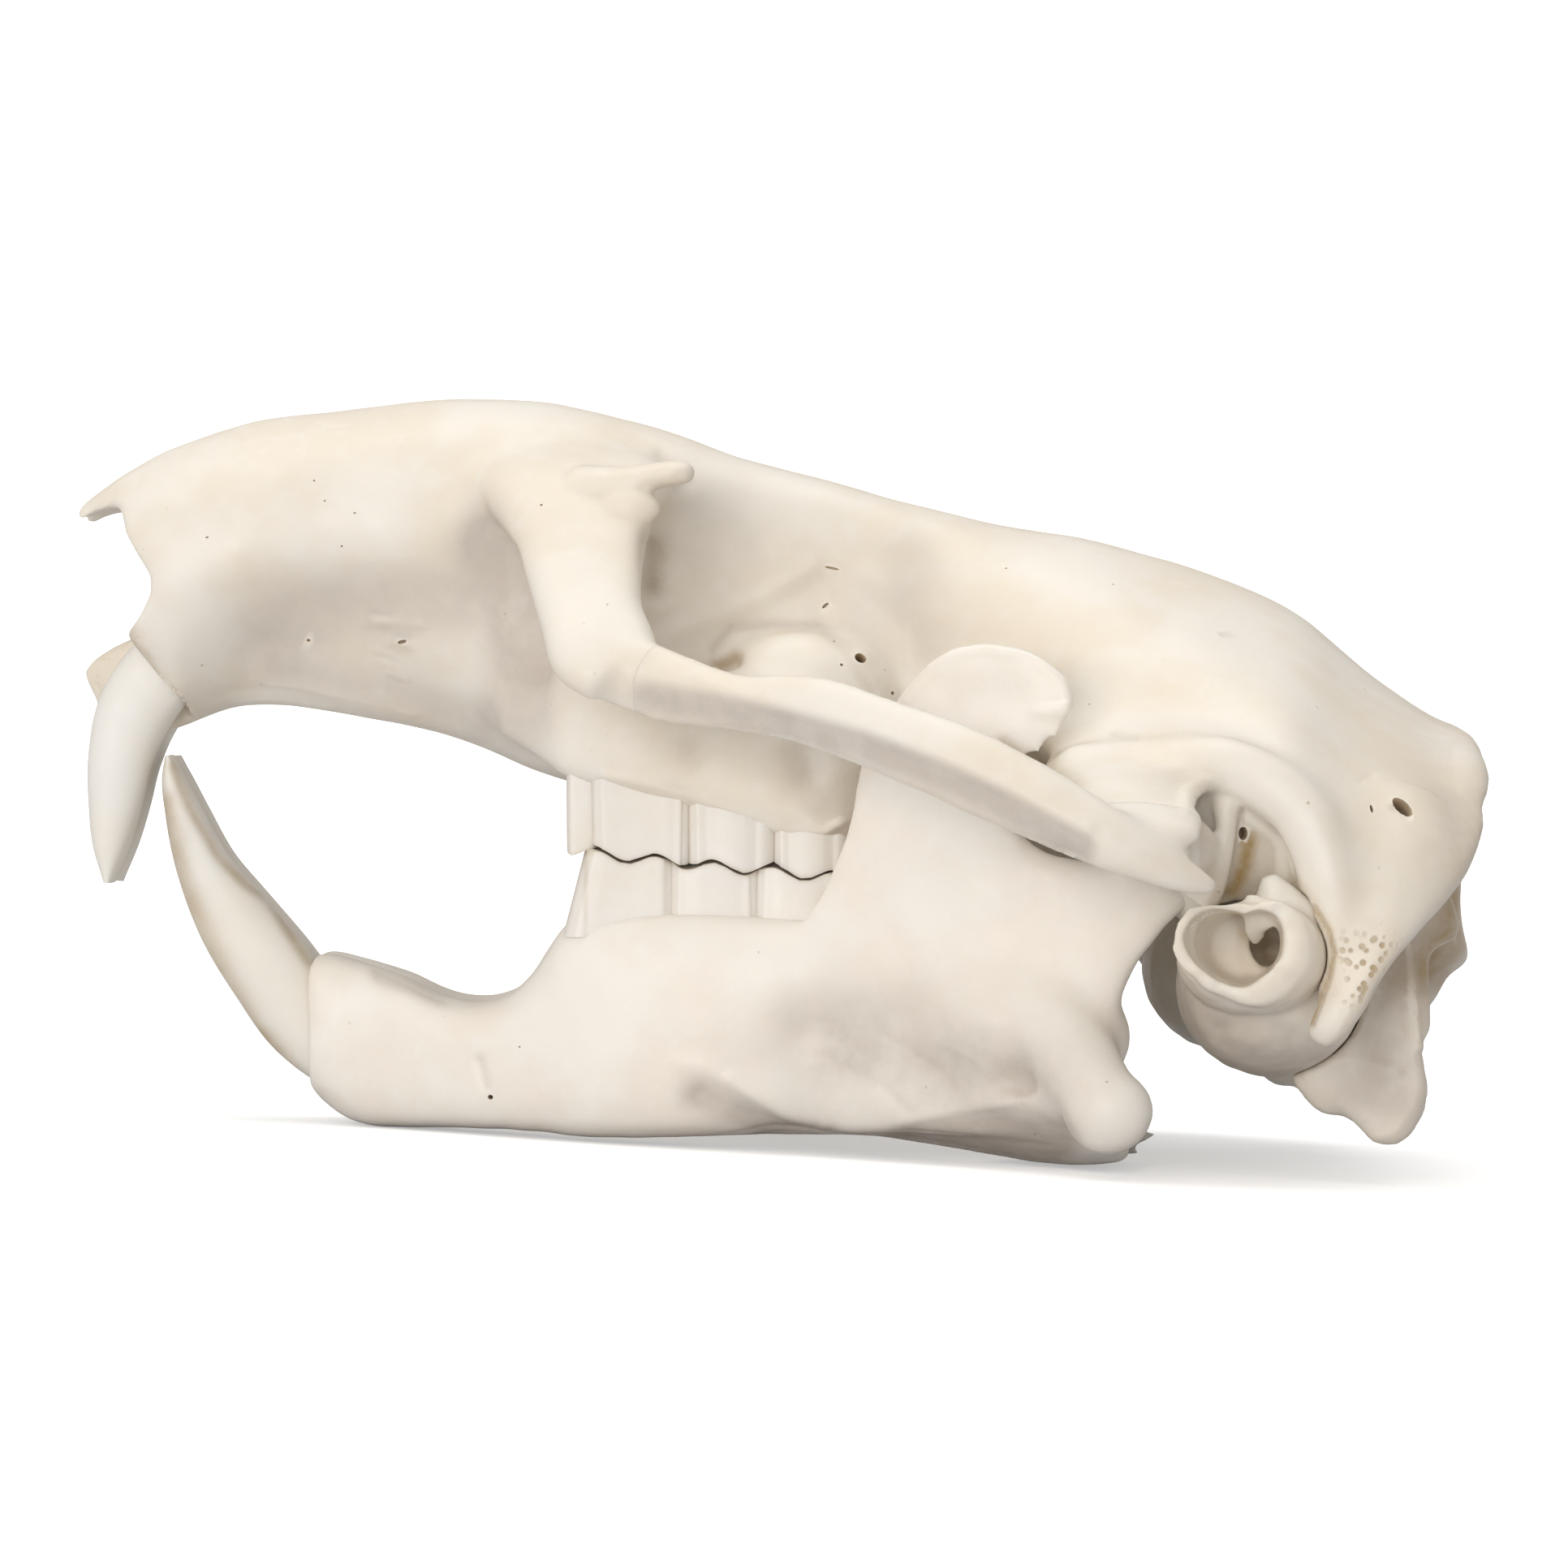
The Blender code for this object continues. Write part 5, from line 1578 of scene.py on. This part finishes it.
    def pipe(self, waisted: bool, name: str, rings: int = 30, sides: int = 120) -> Body:
        """The tube, whose underside narrows to a neck behind its lip, or its plain bore.

        Between the lip's outline and the ellipse deep inside, the section changes by a power of the way
        inwards. The lip's edge is ragged, and rounded by a bell of that way.

        Args:
            waisted: whether it is the tube.
            name: the pipe's name.
            rings: rings from lip to end.
            sides: points round it.

        Returns:
            The pipe as a closed body.
        """
        outline, inner = (self.lip, self.base) if waisted else (self.bore, self.bore_end)
        (low, high), bend = (self.tube_span, self.tube_bend) if waisted else (self.bore_span, self.bore_bend)
        turn = np.linspace(-math.pi, math.pi, sides, endpoint=False)
        far = self.reach(outline, turn) + (0.0 if waisted else self.bore_room)
        lip = np.stack([self.middle[0] + far * np.cos(turn), self.middle[1] + far * np.sin(turn)], -1)
        deep = np.stack([inner[0] + inner[2] * np.cos(turn), inner[1] + inner[3] * np.sin(turn)], -1)
        share = np.linspace(0, 1, rings)[:, None, None]
        flat = lip + share**bend * (deep - lip)
        if waisted:
            depth, where, spread = self.neck
            start, upward = self.neck_way
            drop, sharp = self.lip_round
            out = np.stack([np.cos(turn), np.sin(turn)], -1)
            under = np.clip(start - np.cos(turn) - upward * np.sin(turn), 0, 1)[:, None]
            neck = depth * under * np.exp(-(((share - where) / spread) ** 2))
            flat = flat + out * (neck - drop * np.exp(-((share / sharp) ** 2)))
        edge = np.stack([lip[:, 0], 0 * turn, lip[:, 1]], -1)
        ragged = ripple(edge, self.lip_ragged.size, self.lip_ragged.seed)
        inwards = share[..., 0]
        y = low + inwards * (high - low) + self.lip_ragged.height * (1 - inwards) * ragged
        return Body.loft(np.stack([flat[..., 0], y, flat[..., 1]], -1), name)

    def body(self) -> Body:
        """The bubble joined with its tube, bored, with a fin on top and a wall inside.

        Returns:
            The left ear bulla.
        """
        made = Body.ball(*self.bubble, "auditory bulla")
        made.join([self.pipe(True, "tube"), Body.sweep(self.fin, "fin", up=(0, 1, 0))])
        made.cut([self.pipe(False, "hole")])
        made.cut([Body.sweep(self.chamber, "chamber", sides=24)])
        made.join([Body.sweep(self.septum, "septum", up=(0, 1, 0), sides=24)])
        return made.reskin(self.voxel).relax(*self.finishing)

    def build(self, body: Body) -> None:
        """Roughens, marks and dresses both bullae."""
        body.roughen(self.swells).carve(self.marks).tone(self.marks).thin(self.faces)
        body.settle_pair("auditory_bulla_bone", "auditory_bulla", "bulla_bone", BONE.material())


@dataclass
class Incisor:
    """A curved front tooth that tapers to a worn chisel edge."""

    name: str
    knots: tuple
    marks: tuple = ()

    def body(self) -> Body:
        """The tooth as a squared rod whose half-width is set fore and aft."""
        return Body.sweep(self.knots, self.name, count=90, sides=64, up=(0, 1, 0), square=0.8)

    def build(self, body: Body) -> None:
        """Dresses the tooth and its pair."""
        body.carve(self.marks).tone(self.marks)
        body.settle_pair(self.name + "_tooth", self.name, "tooth_enamel", INCISOR.material())


UPPER_INCISOR = Incisor("upper_incisor", (
    (-26.6, -1.85, 25.1, 1.3, 1.35), (-28.6, -1.85, 24.7, 1.7, 1.6), (-30.4, -1.85, 23.5, 1.9, 1.65),
    (-31.75, -1.85, 21.6, 1.85, 1.65), (-32.45, -1.85, 19.4, 1.6, 1.6), (-32.75, -1.8, 17.0, 1.3, 1.5),
    (-32.95, -1.75, 15.0, 0.9, 1.4), (-33.05, -1.7, 13.2, 0.25, 1.2),
))
LOWER_INCISOR = Incisor("lower_incisor", (
    (-19.5, -2.1, 3.8, 1.2, 1.3), (-21.4, -2.05, 4.6, 1.7, 1.45), (-23.2, -1.95, 6.2, 2.05, 1.55),
    (-25.1, -1.9, 8.8, 2.1, 1.6), (-26.95, -1.85, 11.4, 1.85, 1.55), (-28.4, -1.8, 13.9, 1.35, 1.5),
    (-29.4, -1.75, 16.6, 0.9, 1.4), (-29.95, -1.7, 18.5, 0.5, 1.25), (-30.1, -1.7, 19.4, 0.18, 1.1),
), (
    # stain with painted shade on the front edge, the foot and the chipped inner edge
    Mark("tan front edge", ((204, 990), (220, 1070), (240, 1130), (270, 1200), (318, 1282), (352, 1325)), 17,
         0.0, 0.4, 0.35),
    Mark("tan foot", ((322, 1278), (350, 1316), (376, 1340)), 12, 0.0, 0.4, 0.2),
    Mark("chipped inner edge", ((212, 945), (236, 1000), (270, 1058), (304, 1092), (334, 1108), (352, 1142),
         (380, 1186)), 6, -0.05, 0.42, 0.2),
))


@dataclass
class Mandible:
    """One half of the lower jaw with its cheek teeth.

    plate_half is the upright plate's half-thickness, which plate_edge rounds off at its outline.
    plate_foot thickens its lower part: by what share, below what height, and over what height. The plate
    stands at plate_side, leans out by plate_flare along X, in by plate_tuck above a height, and back in
    by plate_curl, a share of the square of X behind a place.
    """

    voxel: float = 0.2
    fine_voxel: float = 0.15
    rounding: tuple = (70, 10)
    finishing: tuple = (0, 4)
    swells: tuple = (Swell(8.0, 0.06, 11), Swell(2.4, 0.018, 12))
    bone_faces: int = 150000
    tooth_root: float = 10.7
    middle_cut: tuple = ((0, 4.93, 10), (40, 5, 20))
    plate_half: float = 1.0
    plate_edge: int = 8
    plate_foot: tuple = (0.5, 12, 10)
    plate_side: float = -10.6
    plate_flare: float = 0.40
    plate_tuck: tuple = (0.05, 12)
    plate_curl: tuple = (0.012, 6)
    body_knots: tuple = (
        (-23.2, -2.1, 6.35, 2.0, 3.1), (-22.9, -2.1, 6.3, 2.2, 3.4), (-22.2, -2.15, 6.0, 2.35, 3.75),
        (-21.3, -2.25, 5.6, 2.4, 3.95), (-19.8, -2.5, 5.2, 2.6, 3.9), (-18.6, -2.9, 4.95, 2.7, 3.7),
        (-17.2, -3.4, 4.6, 2.75, 3.35), (-15.9, -3.9, 4.38, 2.8, 3.1), (-14.4, -4.6, 4.35, 2.9, 3.05),
        (-13.2, -5.2, 4.55, 2.9, 3.25), (-12.3, -5.7, 4.95, 2.9, 3.7), (-11.4, -6.2, 5.6, 2.9, 4.35),
        (-10.6, -6.6, 6.15, 3.0, 5.0), (-9.6, -7.1, 6.4, 3.0, 5.3), (-7.0, -7.9, 6.5, 3.1, 5.4),
        (-2.0, -8.8, 6.5, 3.1, 5.2), (3.0, -9.5, 6.2, 3.0, 4.9), (6.4, -10.4, 5.6, 2.4, 4.2),
        (8.6, -11.2, 5.2, 1.2, 2.4),
    )
    ramus_outline: tuple = (
        (-1.5, 6.0), (0.4, 10.6), (2.1, 13.6), (3.1, 16.3), (3.6, 19.1), (5.2, 22.1), (6.2, 23.3), (7.7, 24.35),
        (9.6, 24.7), (11.6, 24.25), (13.15, 23.0), (13.5, 21.8), (12.7, 21.0), (11.5, 20.6), (10.6, 19.9),
        (10.2, 18.2), (10.8, 16.1), (12.2, 14.95), (13.7, 14.6), (16.0, 14.6), (18.4, 14.0), (19.3, 13.0),
        (17.9, 11.4), (16.35, 9.4), (15.65, 7.7), (15.45, 5.8), (15.8, 3.4), (14.6, 1.4), (11.0, 1.2), (6.0, 1.5),
        (1.0, 2.0),
    )
    ramus_centre: tuple = (9.0, 10.0)
    jaw_joint: tuple = ((17.3, -18.3, 14.8), (2.0, 2.4, 1.2))
    angle_rib: tuple = (
        (8.2, -13.0, 11.2, 0.9, 1.8), (10.4, -14.4, 9.2, 1.2, 2.3), (12.2, -15.8, 7.2, 1.5, 2.4),
        (13.4, -17.3, 5.2, 1.7, 2.2), (14.7, -18.9, 3.4, 1.7, 1.7),
    )
    angle_fill: tuple = ((11.8, -14.9, 6.2), (4.4, 2.2, 3.3))
    coronoid_lip: tuple = (
        (11.6, -15.9, 21.4, 0.5, 0.45), (12.5, -16.2, 21.4, 0.5, 0.42), (13.2, -16.4, 21.5, 0.3, 0.3),
    )
    angle_spikes: tuple = (
        ((15.6, -7.4, 1.2, 0.6, 0.5), (17.2, -7.4, 1.1, 0.35, 0.3), (17.9, -7.4, 1.25, 0.08, 0.08)),
        ((15.4, -7.8, 0.8, 0.6, 0.4), (16.6, -7.6, 0.45, 0.3, 0.22), (17.1, -7.6, 0.3, 0.08, 0.08)),
    )
    angle_knob: tuple = ((14.95, -19.2, 2.95), (2.1, 1.7, 2.0))
    angle_plate: tuple = (
        (2.0, -9.4, 2.6, 1.2, 0.9), (6.0, -11.4, 2.3, 2.2, 0.9), (9.6, -13.4, 2.05, 3.1, 0.85),
        (12.6, -15.0, 1.9, 3.4, 0.9), (15.0, -16.4, 2.0, 2.9, 1.0),
    )
    angle_shelf: tuple = (
        (12.6, -12.6, 1.1, 4.0, 0.75), (13.6, -9.8, 1.0, 3.6, 0.6), (15.4, -7.8, 1.0, 2.4, 0.5),
        (16.9, -6.8, 1.1, 1.1, 0.45),
    )
    teeth: tuple = (
        CheekTooth("p4", -7.3, -7.9, 4.3, 3.3, ((236, 0.03, 0.16), (268, -0.03, 0.2), (296, 0.04, 0.14)), 0.23),
        CheekTooth("m1", -3.3, -8.0, 4.3, 3.4, ((238, 0.04, 0.14), (268, 0.03, 0.2), (298, 0.04, 0.12))),
        CheekTooth("m2", 0.72, -8.0, 4.25, 3.4, ((240, 0.03, 0.14), (268, 0.03, 0.2), (296, 0.04, 0.12))),
        CheekTooth("m3", 4.4, -8.1, 3.8, 3.0),
    )
    marks: tuple = (
        # step and hollow behind the incisor, nerve hole, with painted shade in the step and the crease
        Mark("step behind the incisor", ((470, 1200), (510, 1212), (545, 1226)), 12, -0.18, shade=0.3),
        Mark("crease over the nerve hole", ((590, 1306), (598, 1338)), 7, -0.14, shade=0.12),
        # line of the tooth sockets
        Mark("line of the tooth sockets", ((700, 1152), (780, 1135), (930, 1126), (1000, 1120)), 7, 0.06),
        # ridge for the chewing muscle, with the hollow over it and the undercut below, and painted shade in the
        # undercut, the hollows and the field
        Mark("start of the ridge", ((838, 1312), (880, 1322)), 13, 0.10),
        Mark("ridge for the chewing muscle", ((900, 1332), (925, 1348), (971, 1378), (1010, 1390)), 11, 0.24),
        Mark("undercut of the ridge", ((862, 1352), (905, 1372), (955, 1392), (1000, 1402)), 22, -0.42,
             shade=1.0),
        Mark("upper hollow of the muscle's field", ((985, 1262), (1050, 1252), (1112, 1248)), 34, -0.3,
             shade=0.1),
        Mark("middle hollow of the muscle's field", ((1040, 1300), (1150, 1320), (1240, 1335)), 52, -0.4,
             shade=0.3),
        Mark("shade of the muscle's field", ((1020, 1290), (1110, 1290), (1200, 1312), (1290, 1336)), 88, 0.0,
             0.0, 0.5),
        Mark("dip at the ridge's start", ((900, 1316), (960, 1310)), 34, -0.15),
        # striae in the muscle's hollow and under the shelf, with painted shade in them, under the shelf and on the
        # jaw's lower edge
        Mark("front streak", ((1010, 1300), (1080, 1336), (1120, 1372)), 7, -0.05, shade=0.06),
        Mark("middle streak", ((1090, 1278), (1150, 1312), (1192, 1366)), 6, -0.04, shade=0.06),
        Mark("back streak", ((1150, 1280), (1210, 1318)), 5, 0.04),
        Mark("painted shade on the underside of the shelf", ((1120, 1412), (1170, 1406), (1225, 1404), (1300, 1408)), 28,
             -0.15, 0.05, 1.0, edge=3.0),
        Mark("edge of the shelf", ((1110, 1384), (1180, 1370), (1240, 1364)), 8, 0.12),
        Mark("streak under the shelf", ((1120, 1400), (1200, 1408), (1290, 1416)), 4, -0.06, shade=0.2),
        Mark("painted shade on the lower edge", ((396, 1346), (440, 1376), (520, 1388), (700, 1392), (880, 1396)), 9, 0.0,
             0.04, 0.2),
        # rounded rim of the upper blade and the hollow field in it, with painted shade below the blade and on its
        # stained foot
        Mark("rim of the upper blade", ((1118, 862), (1150, 822), (1175, 806), (1215, 800), (1270, 808),
             (1308, 838), (1316, 866)), 7, 0.16),
        Mark("hollow in the upper blade", ((1180, 860), (1250, 850)), 30, -0.28),
        Mark("shade below the blade", ((1190, 1040), (1290, 1070), (1370, 1110)), 60, 0.0, 0.0, 0.16),
        Mark("tan foot of the blade", ((1236, 916), (1262, 934), (1300, 952)), 10, 0.0, 0.55, 0.3),
    )

    holes: tuple = (
        Hole("nerve hole of the chin", (604, 1352), 0.14, 0.12, 0.8),
        Hole("pore on the jaw", (640, 1290), 0.05, 0.05, 0.1),
    )

    def ramus(self, rings: int = 40, sides: int = 260, reach: float = 20) -> Body:
        """The thin upright plate of the jaw.

        Rings shrink from the outline to the middle on both faces. The plate's half-thickness is the root
        of one less a power of the share of the way to the outline.

        Args:
            rings: rings on each face.
            sides: points round the outline.
            reach: how far the tuck and the curl go on.

        Returns:
            The plate.
        """
        loop = self.ramus_outline + self.ramus_outline[:1]
        edge = along([(x, 0, z) for x, z in loop], sides + 1)[:-1, [0, 2]]
        share = np.concatenate([np.linspace(0.02, 1, rings), np.linspace(1, 0.02, rings)[1:]])
        face = np.concatenate([np.full(rings, 1.0), np.full(rings - 1, -1.0)])
        flat = np.asarray(self.ramus_centre) + share[:, None, None] * (edge - np.asarray(self.ramus_centre))
        x, z = flat[..., 0], flat[..., 1]
        thicker, foot, over = self.plate_foot
        (tuck, tuck_start), (curl, curl_start) = self.plate_tuck, self.plate_curl
        half = self.plate_half * np.sqrt(np.clip(1 - share[:, None] ** self.plate_edge, 0, 1))
        half = half * (1 + thicker * np.clip((foot - z) / over, 0, 1))
        y = self.plate_side - self.plate_flare * x - tuck * np.clip(z - tuck_start, 0, reach) + face[:, None] * half
        y = y + curl * np.clip(x - curl_start, 0, reach) ** 2
        return Body.loft(np.stack([x, y, z], axis=-1), "ramus")

    def build(self, incisor: Body) -> None:
        """Makes the left half, its mirror image, and their teeth.

        Args:
            incisor: the left lower incisor.
        """
        jaw = Body.sweep(self.body_knots, "mandible", count=130, sides=72, square=0.66, upright=True).join([
            self.ramus(),
            Body.ball(*self.jaw_joint, "jaw joint"),
            Body.sweep(self.angle_rib, "angle rib", up=(1, 0, 0)),
            Body.ball(*self.angle_knob, "angle knob"),
            Body.ball(*self.angle_fill, "angle fill"),
            Body.sweep(self.angle_plate, "angle plate", up=(0, 0.55, 0.83)),
            Body.sweep(self.angle_shelf, "angle shelf"),
        ])
        jaw.reskin(self.voxel).relax(*self.rounding)
        jaw.join([Body.sweep(spike, "jaw spike", sides=24) for spike in (*self.angle_spikes, self.coronoid_lip)])
        jaw.cut([incisor.swollen(INCISOR_ROOM), Body.box(*self.middle_cut, "middle cut")])
        jaw = jaw.keep_largest().reskin(self.fine_voxel).relax(*self.finishing)
        jaw.roughen(self.swells).carve(self.marks).tone(self.marks)
        jaw.thin(self.bone_faces).drill(self.holes)
        jaw.settle_pair("mandible_bone", "mandible", "jaw_bone", LIT_JAW_BONE.material())
        for tooth in self.teeth:
            tooth.build(self.tooth_root, Row.LOWER)


@dataclass(frozen=True)
class Lamp:
    """A soft square light, in metres and watts."""

    name: str
    place: tuple
    aim: tuple
    size: float
    watts: float
    colour: tuple

    def build(self) -> None:
        """Hangs the light in its place, turned to what it lights."""
        data = bpy.data.lights.new(self.name, "AREA")
        data.size = self.size
        data.energy = self.watts
        data.color = self.colour
        obj = bpy.data.objects.new(self.name, data)
        obj.location = self.place
        obj.rotation_euler = (Vector(self.aim) - Vector(self.place)).to_track_quat("-Z", "Y").to_euler()
        bpy.context.scene.collection.objects.link(obj)


@dataclass
class Studio:
    """The pale floor, the soft lights and the camera.

    The floor runs flat to floor_end and then bends up into a wall. It is floor_tone to the light that
    falls back on the skull, and seen_tone and a little glow to the eye. sky_range reads the cosine
    between a direction and sky_way into the surroundings' strength.
    """

    sensor: float = 36.0
    clip: tuple = (0.01, 20.0)
    floor_reach: float = 3.0
    floor_start: float = -0.5
    floor_end: float = 0.8
    floor_bend: float = 0.4
    floor_tone: tuple = (0.68, 0.69, 0.72, 1)
    seen_tone: tuple = (0.95, 0.95, 0.95, 1)
    seen_glow: float = 0.4
    floor_roughness: float = 0.9
    floor_gloss: float = 0.1
    sky_tone: tuple = (1.0, 0.985, 0.96, 1)
    sky_way: tuple = (-0.36, -0.80, 0.48)
    sky_range: tuple = (-0.8, 0.9, 0.06, 0.63)
    lamps: tuple = (
        Lamp("key", (-0.35, -0.93, 0.08), (0, 0, 0.015), 0.6, 6.5, (1.0, 0.97, 0.94)),
        Lamp("wall", (0.0, 0.3, 1.2), (0, 1.1, 0.2), 1.2, 9.4, (1.0, 0.985, 0.96)),
    )

    def camera(self) -> None:
        """A camera square to the skull's left side, as far off and as narrow as the picture needs."""
        data = bpy.data.cameras.new("camera")
        data.sensor_width = self.sensor
        data.lens = self.sensor * EYE_DISTANCE / VIEW_WIDTH
        data.clip_start, data.clip_end = self.clip
        obj = bpy.data.objects.new("camera", data)
        bpy.context.scene.collection.objects.link(obj)
        stand = Matrix.Translation((0, -EYE_DISTANCE, EYE_HEIGHT)) @ Matrix.Rotation(math.pi / 2, 4, "X")
        place = REST @ stand
        place.translation *= MM
        obj.matrix_world = place
        bpy.context.scene.camera = obj

    def floor(self, sides: int = 60, steps: int = 24, flat: int = 8) -> None:
        """A floor that bends up into a wall behind: a flat run, a quarter circle, and a straight rise.

        Args:
            sides: points across.
            steps: points round the bend.
            flat: points on the flat run, besides the first.
        """
        reach, end, bend = self.floor_reach, self.floor_end, self.floor_bend
        turn = np.linspace(0, math.pi / 2, steps)
        near = np.linspace(self.floor_start, end, flat)
        run = np.concatenate([[-reach], near, end + bend * np.sin(turn[1:]), [end + bend]])
        rise = np.concatenate([np.zeros(flat + 1), bend * (1 - np.cos(turn[1:])), [reach]])
        across = np.linspace(-reach, reach, sides)
        grid = np.stack(np.broadcast_arrays(across[None, :], run[:, None], rise[:, None]), axis=-1)
        rows, columns = grid.shape[:2]
        r, c = np.meshgrid(np.arange(rows - 1), np.arange(columns - 1), indexing="ij")
        a = r * columns + c
        faces = np.stack([np.stack([a, a + 1, a + 1 + columns], -1), np.stack([a, a + 1 + columns, a + columns], -1)])
        body = Body.new(Body.mesh_of(grid.reshape(-1, 3), faces.reshape(-1, 3), "floor"), "floor")
        body.obj.data.shade_smooth()
        body.obj.data.materials.append(self.floor_paint())

    def floor_paint(self) -> bpy.types.Material:
        """The floor's paint, whose glow only the eye sees.

        Returns:
            The material.
        """
        paint = bpy.data.materials.new("pale floor")
        paint.use_nodes = True
        paint.cycles.emission_sampling = "NONE"
        tree = paint.node_tree
        shader = tree.nodes["Principled BSDF"]
        shader.inputs["Roughness"].default_value = self.floor_roughness
        shader.inputs["Specular IOR Level"].default_value = self.floor_gloss
        ray = tree.nodes.new("ShaderNodeLightPath")
        tone = tree.nodes.new("ShaderNodeMix")
        tone.data_type = "RGBA"
        tone.inputs[6].default_value = self.floor_tone
        tone.inputs[7].default_value = self.seen_tone
        tree.links.new(ray.outputs["Is Camera Ray"], tone.inputs[0])
        tree.links.new(tone.outputs[2], shader.inputs["Base Color"])
        shader.inputs["Emission Color"].default_value = (1, 1, 1, 1)
        glow = Tones.number(tree, "MULTIPLY", ray.outputs["Is Camera Ray"], self.seen_glow)
        tree.links.new(glow, shader.inputs["Emission Strength"])
        return paint

    def sky(self) -> None:
        """Soft surroundings, brightest up and in front of the skull's left side."""
        world = bpy.context.scene.world or bpy.data.worlds.new("studio")
        bpy.context.scene.world = world
        world.use_nodes = True
        tree = world.node_tree
        sky = tree.nodes["Background"]
        way = tree.nodes.new("ShaderNodeTexCoord")
        toward = tree.nodes.new("ShaderNodeVectorMath")
        toward.operation = "DOT_PRODUCT"
        toward.inputs[1].default_value = Vector(self.sky_way)
        tree.links.new(way.outputs["Generated"], toward.inputs[0])
        strength = Tones.band(tree, toward.outputs["Value"], *self.sky_range)
        sky.inputs["Color"].default_value = self.sky_tone
        tree.links.new(strength, sky.inputs["Strength"])

    def build(self) -> None:
        """Sets up camera, floor, lights and surroundings."""
        self.camera()
        self.floor()
        for lamp in self.lamps:
            lamp.build()
        self.sky()
        bpy.context.scene.view_settings.view_transform = "Standard"


def main() -> None:
    """Builds the studio and the skull's sub-assemblies."""
    logging.basicConfig(level=logging.INFO, format="%(name)s: %(message)s")
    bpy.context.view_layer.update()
    Studio().build()
    upper, lower = UPPER_INCISOR.body(), LOWER_INCISOR.body()
    ear = EarBulla()
    bulla = ear.body()
    Cranium().build(upper, bulla)
    ear.build(bulla)
    Mandible().build(lower)
    UPPER_INCISOR.build(upper)
    LOWER_INCISOR.build(lower)


if __name__ == "__main__":
    main()
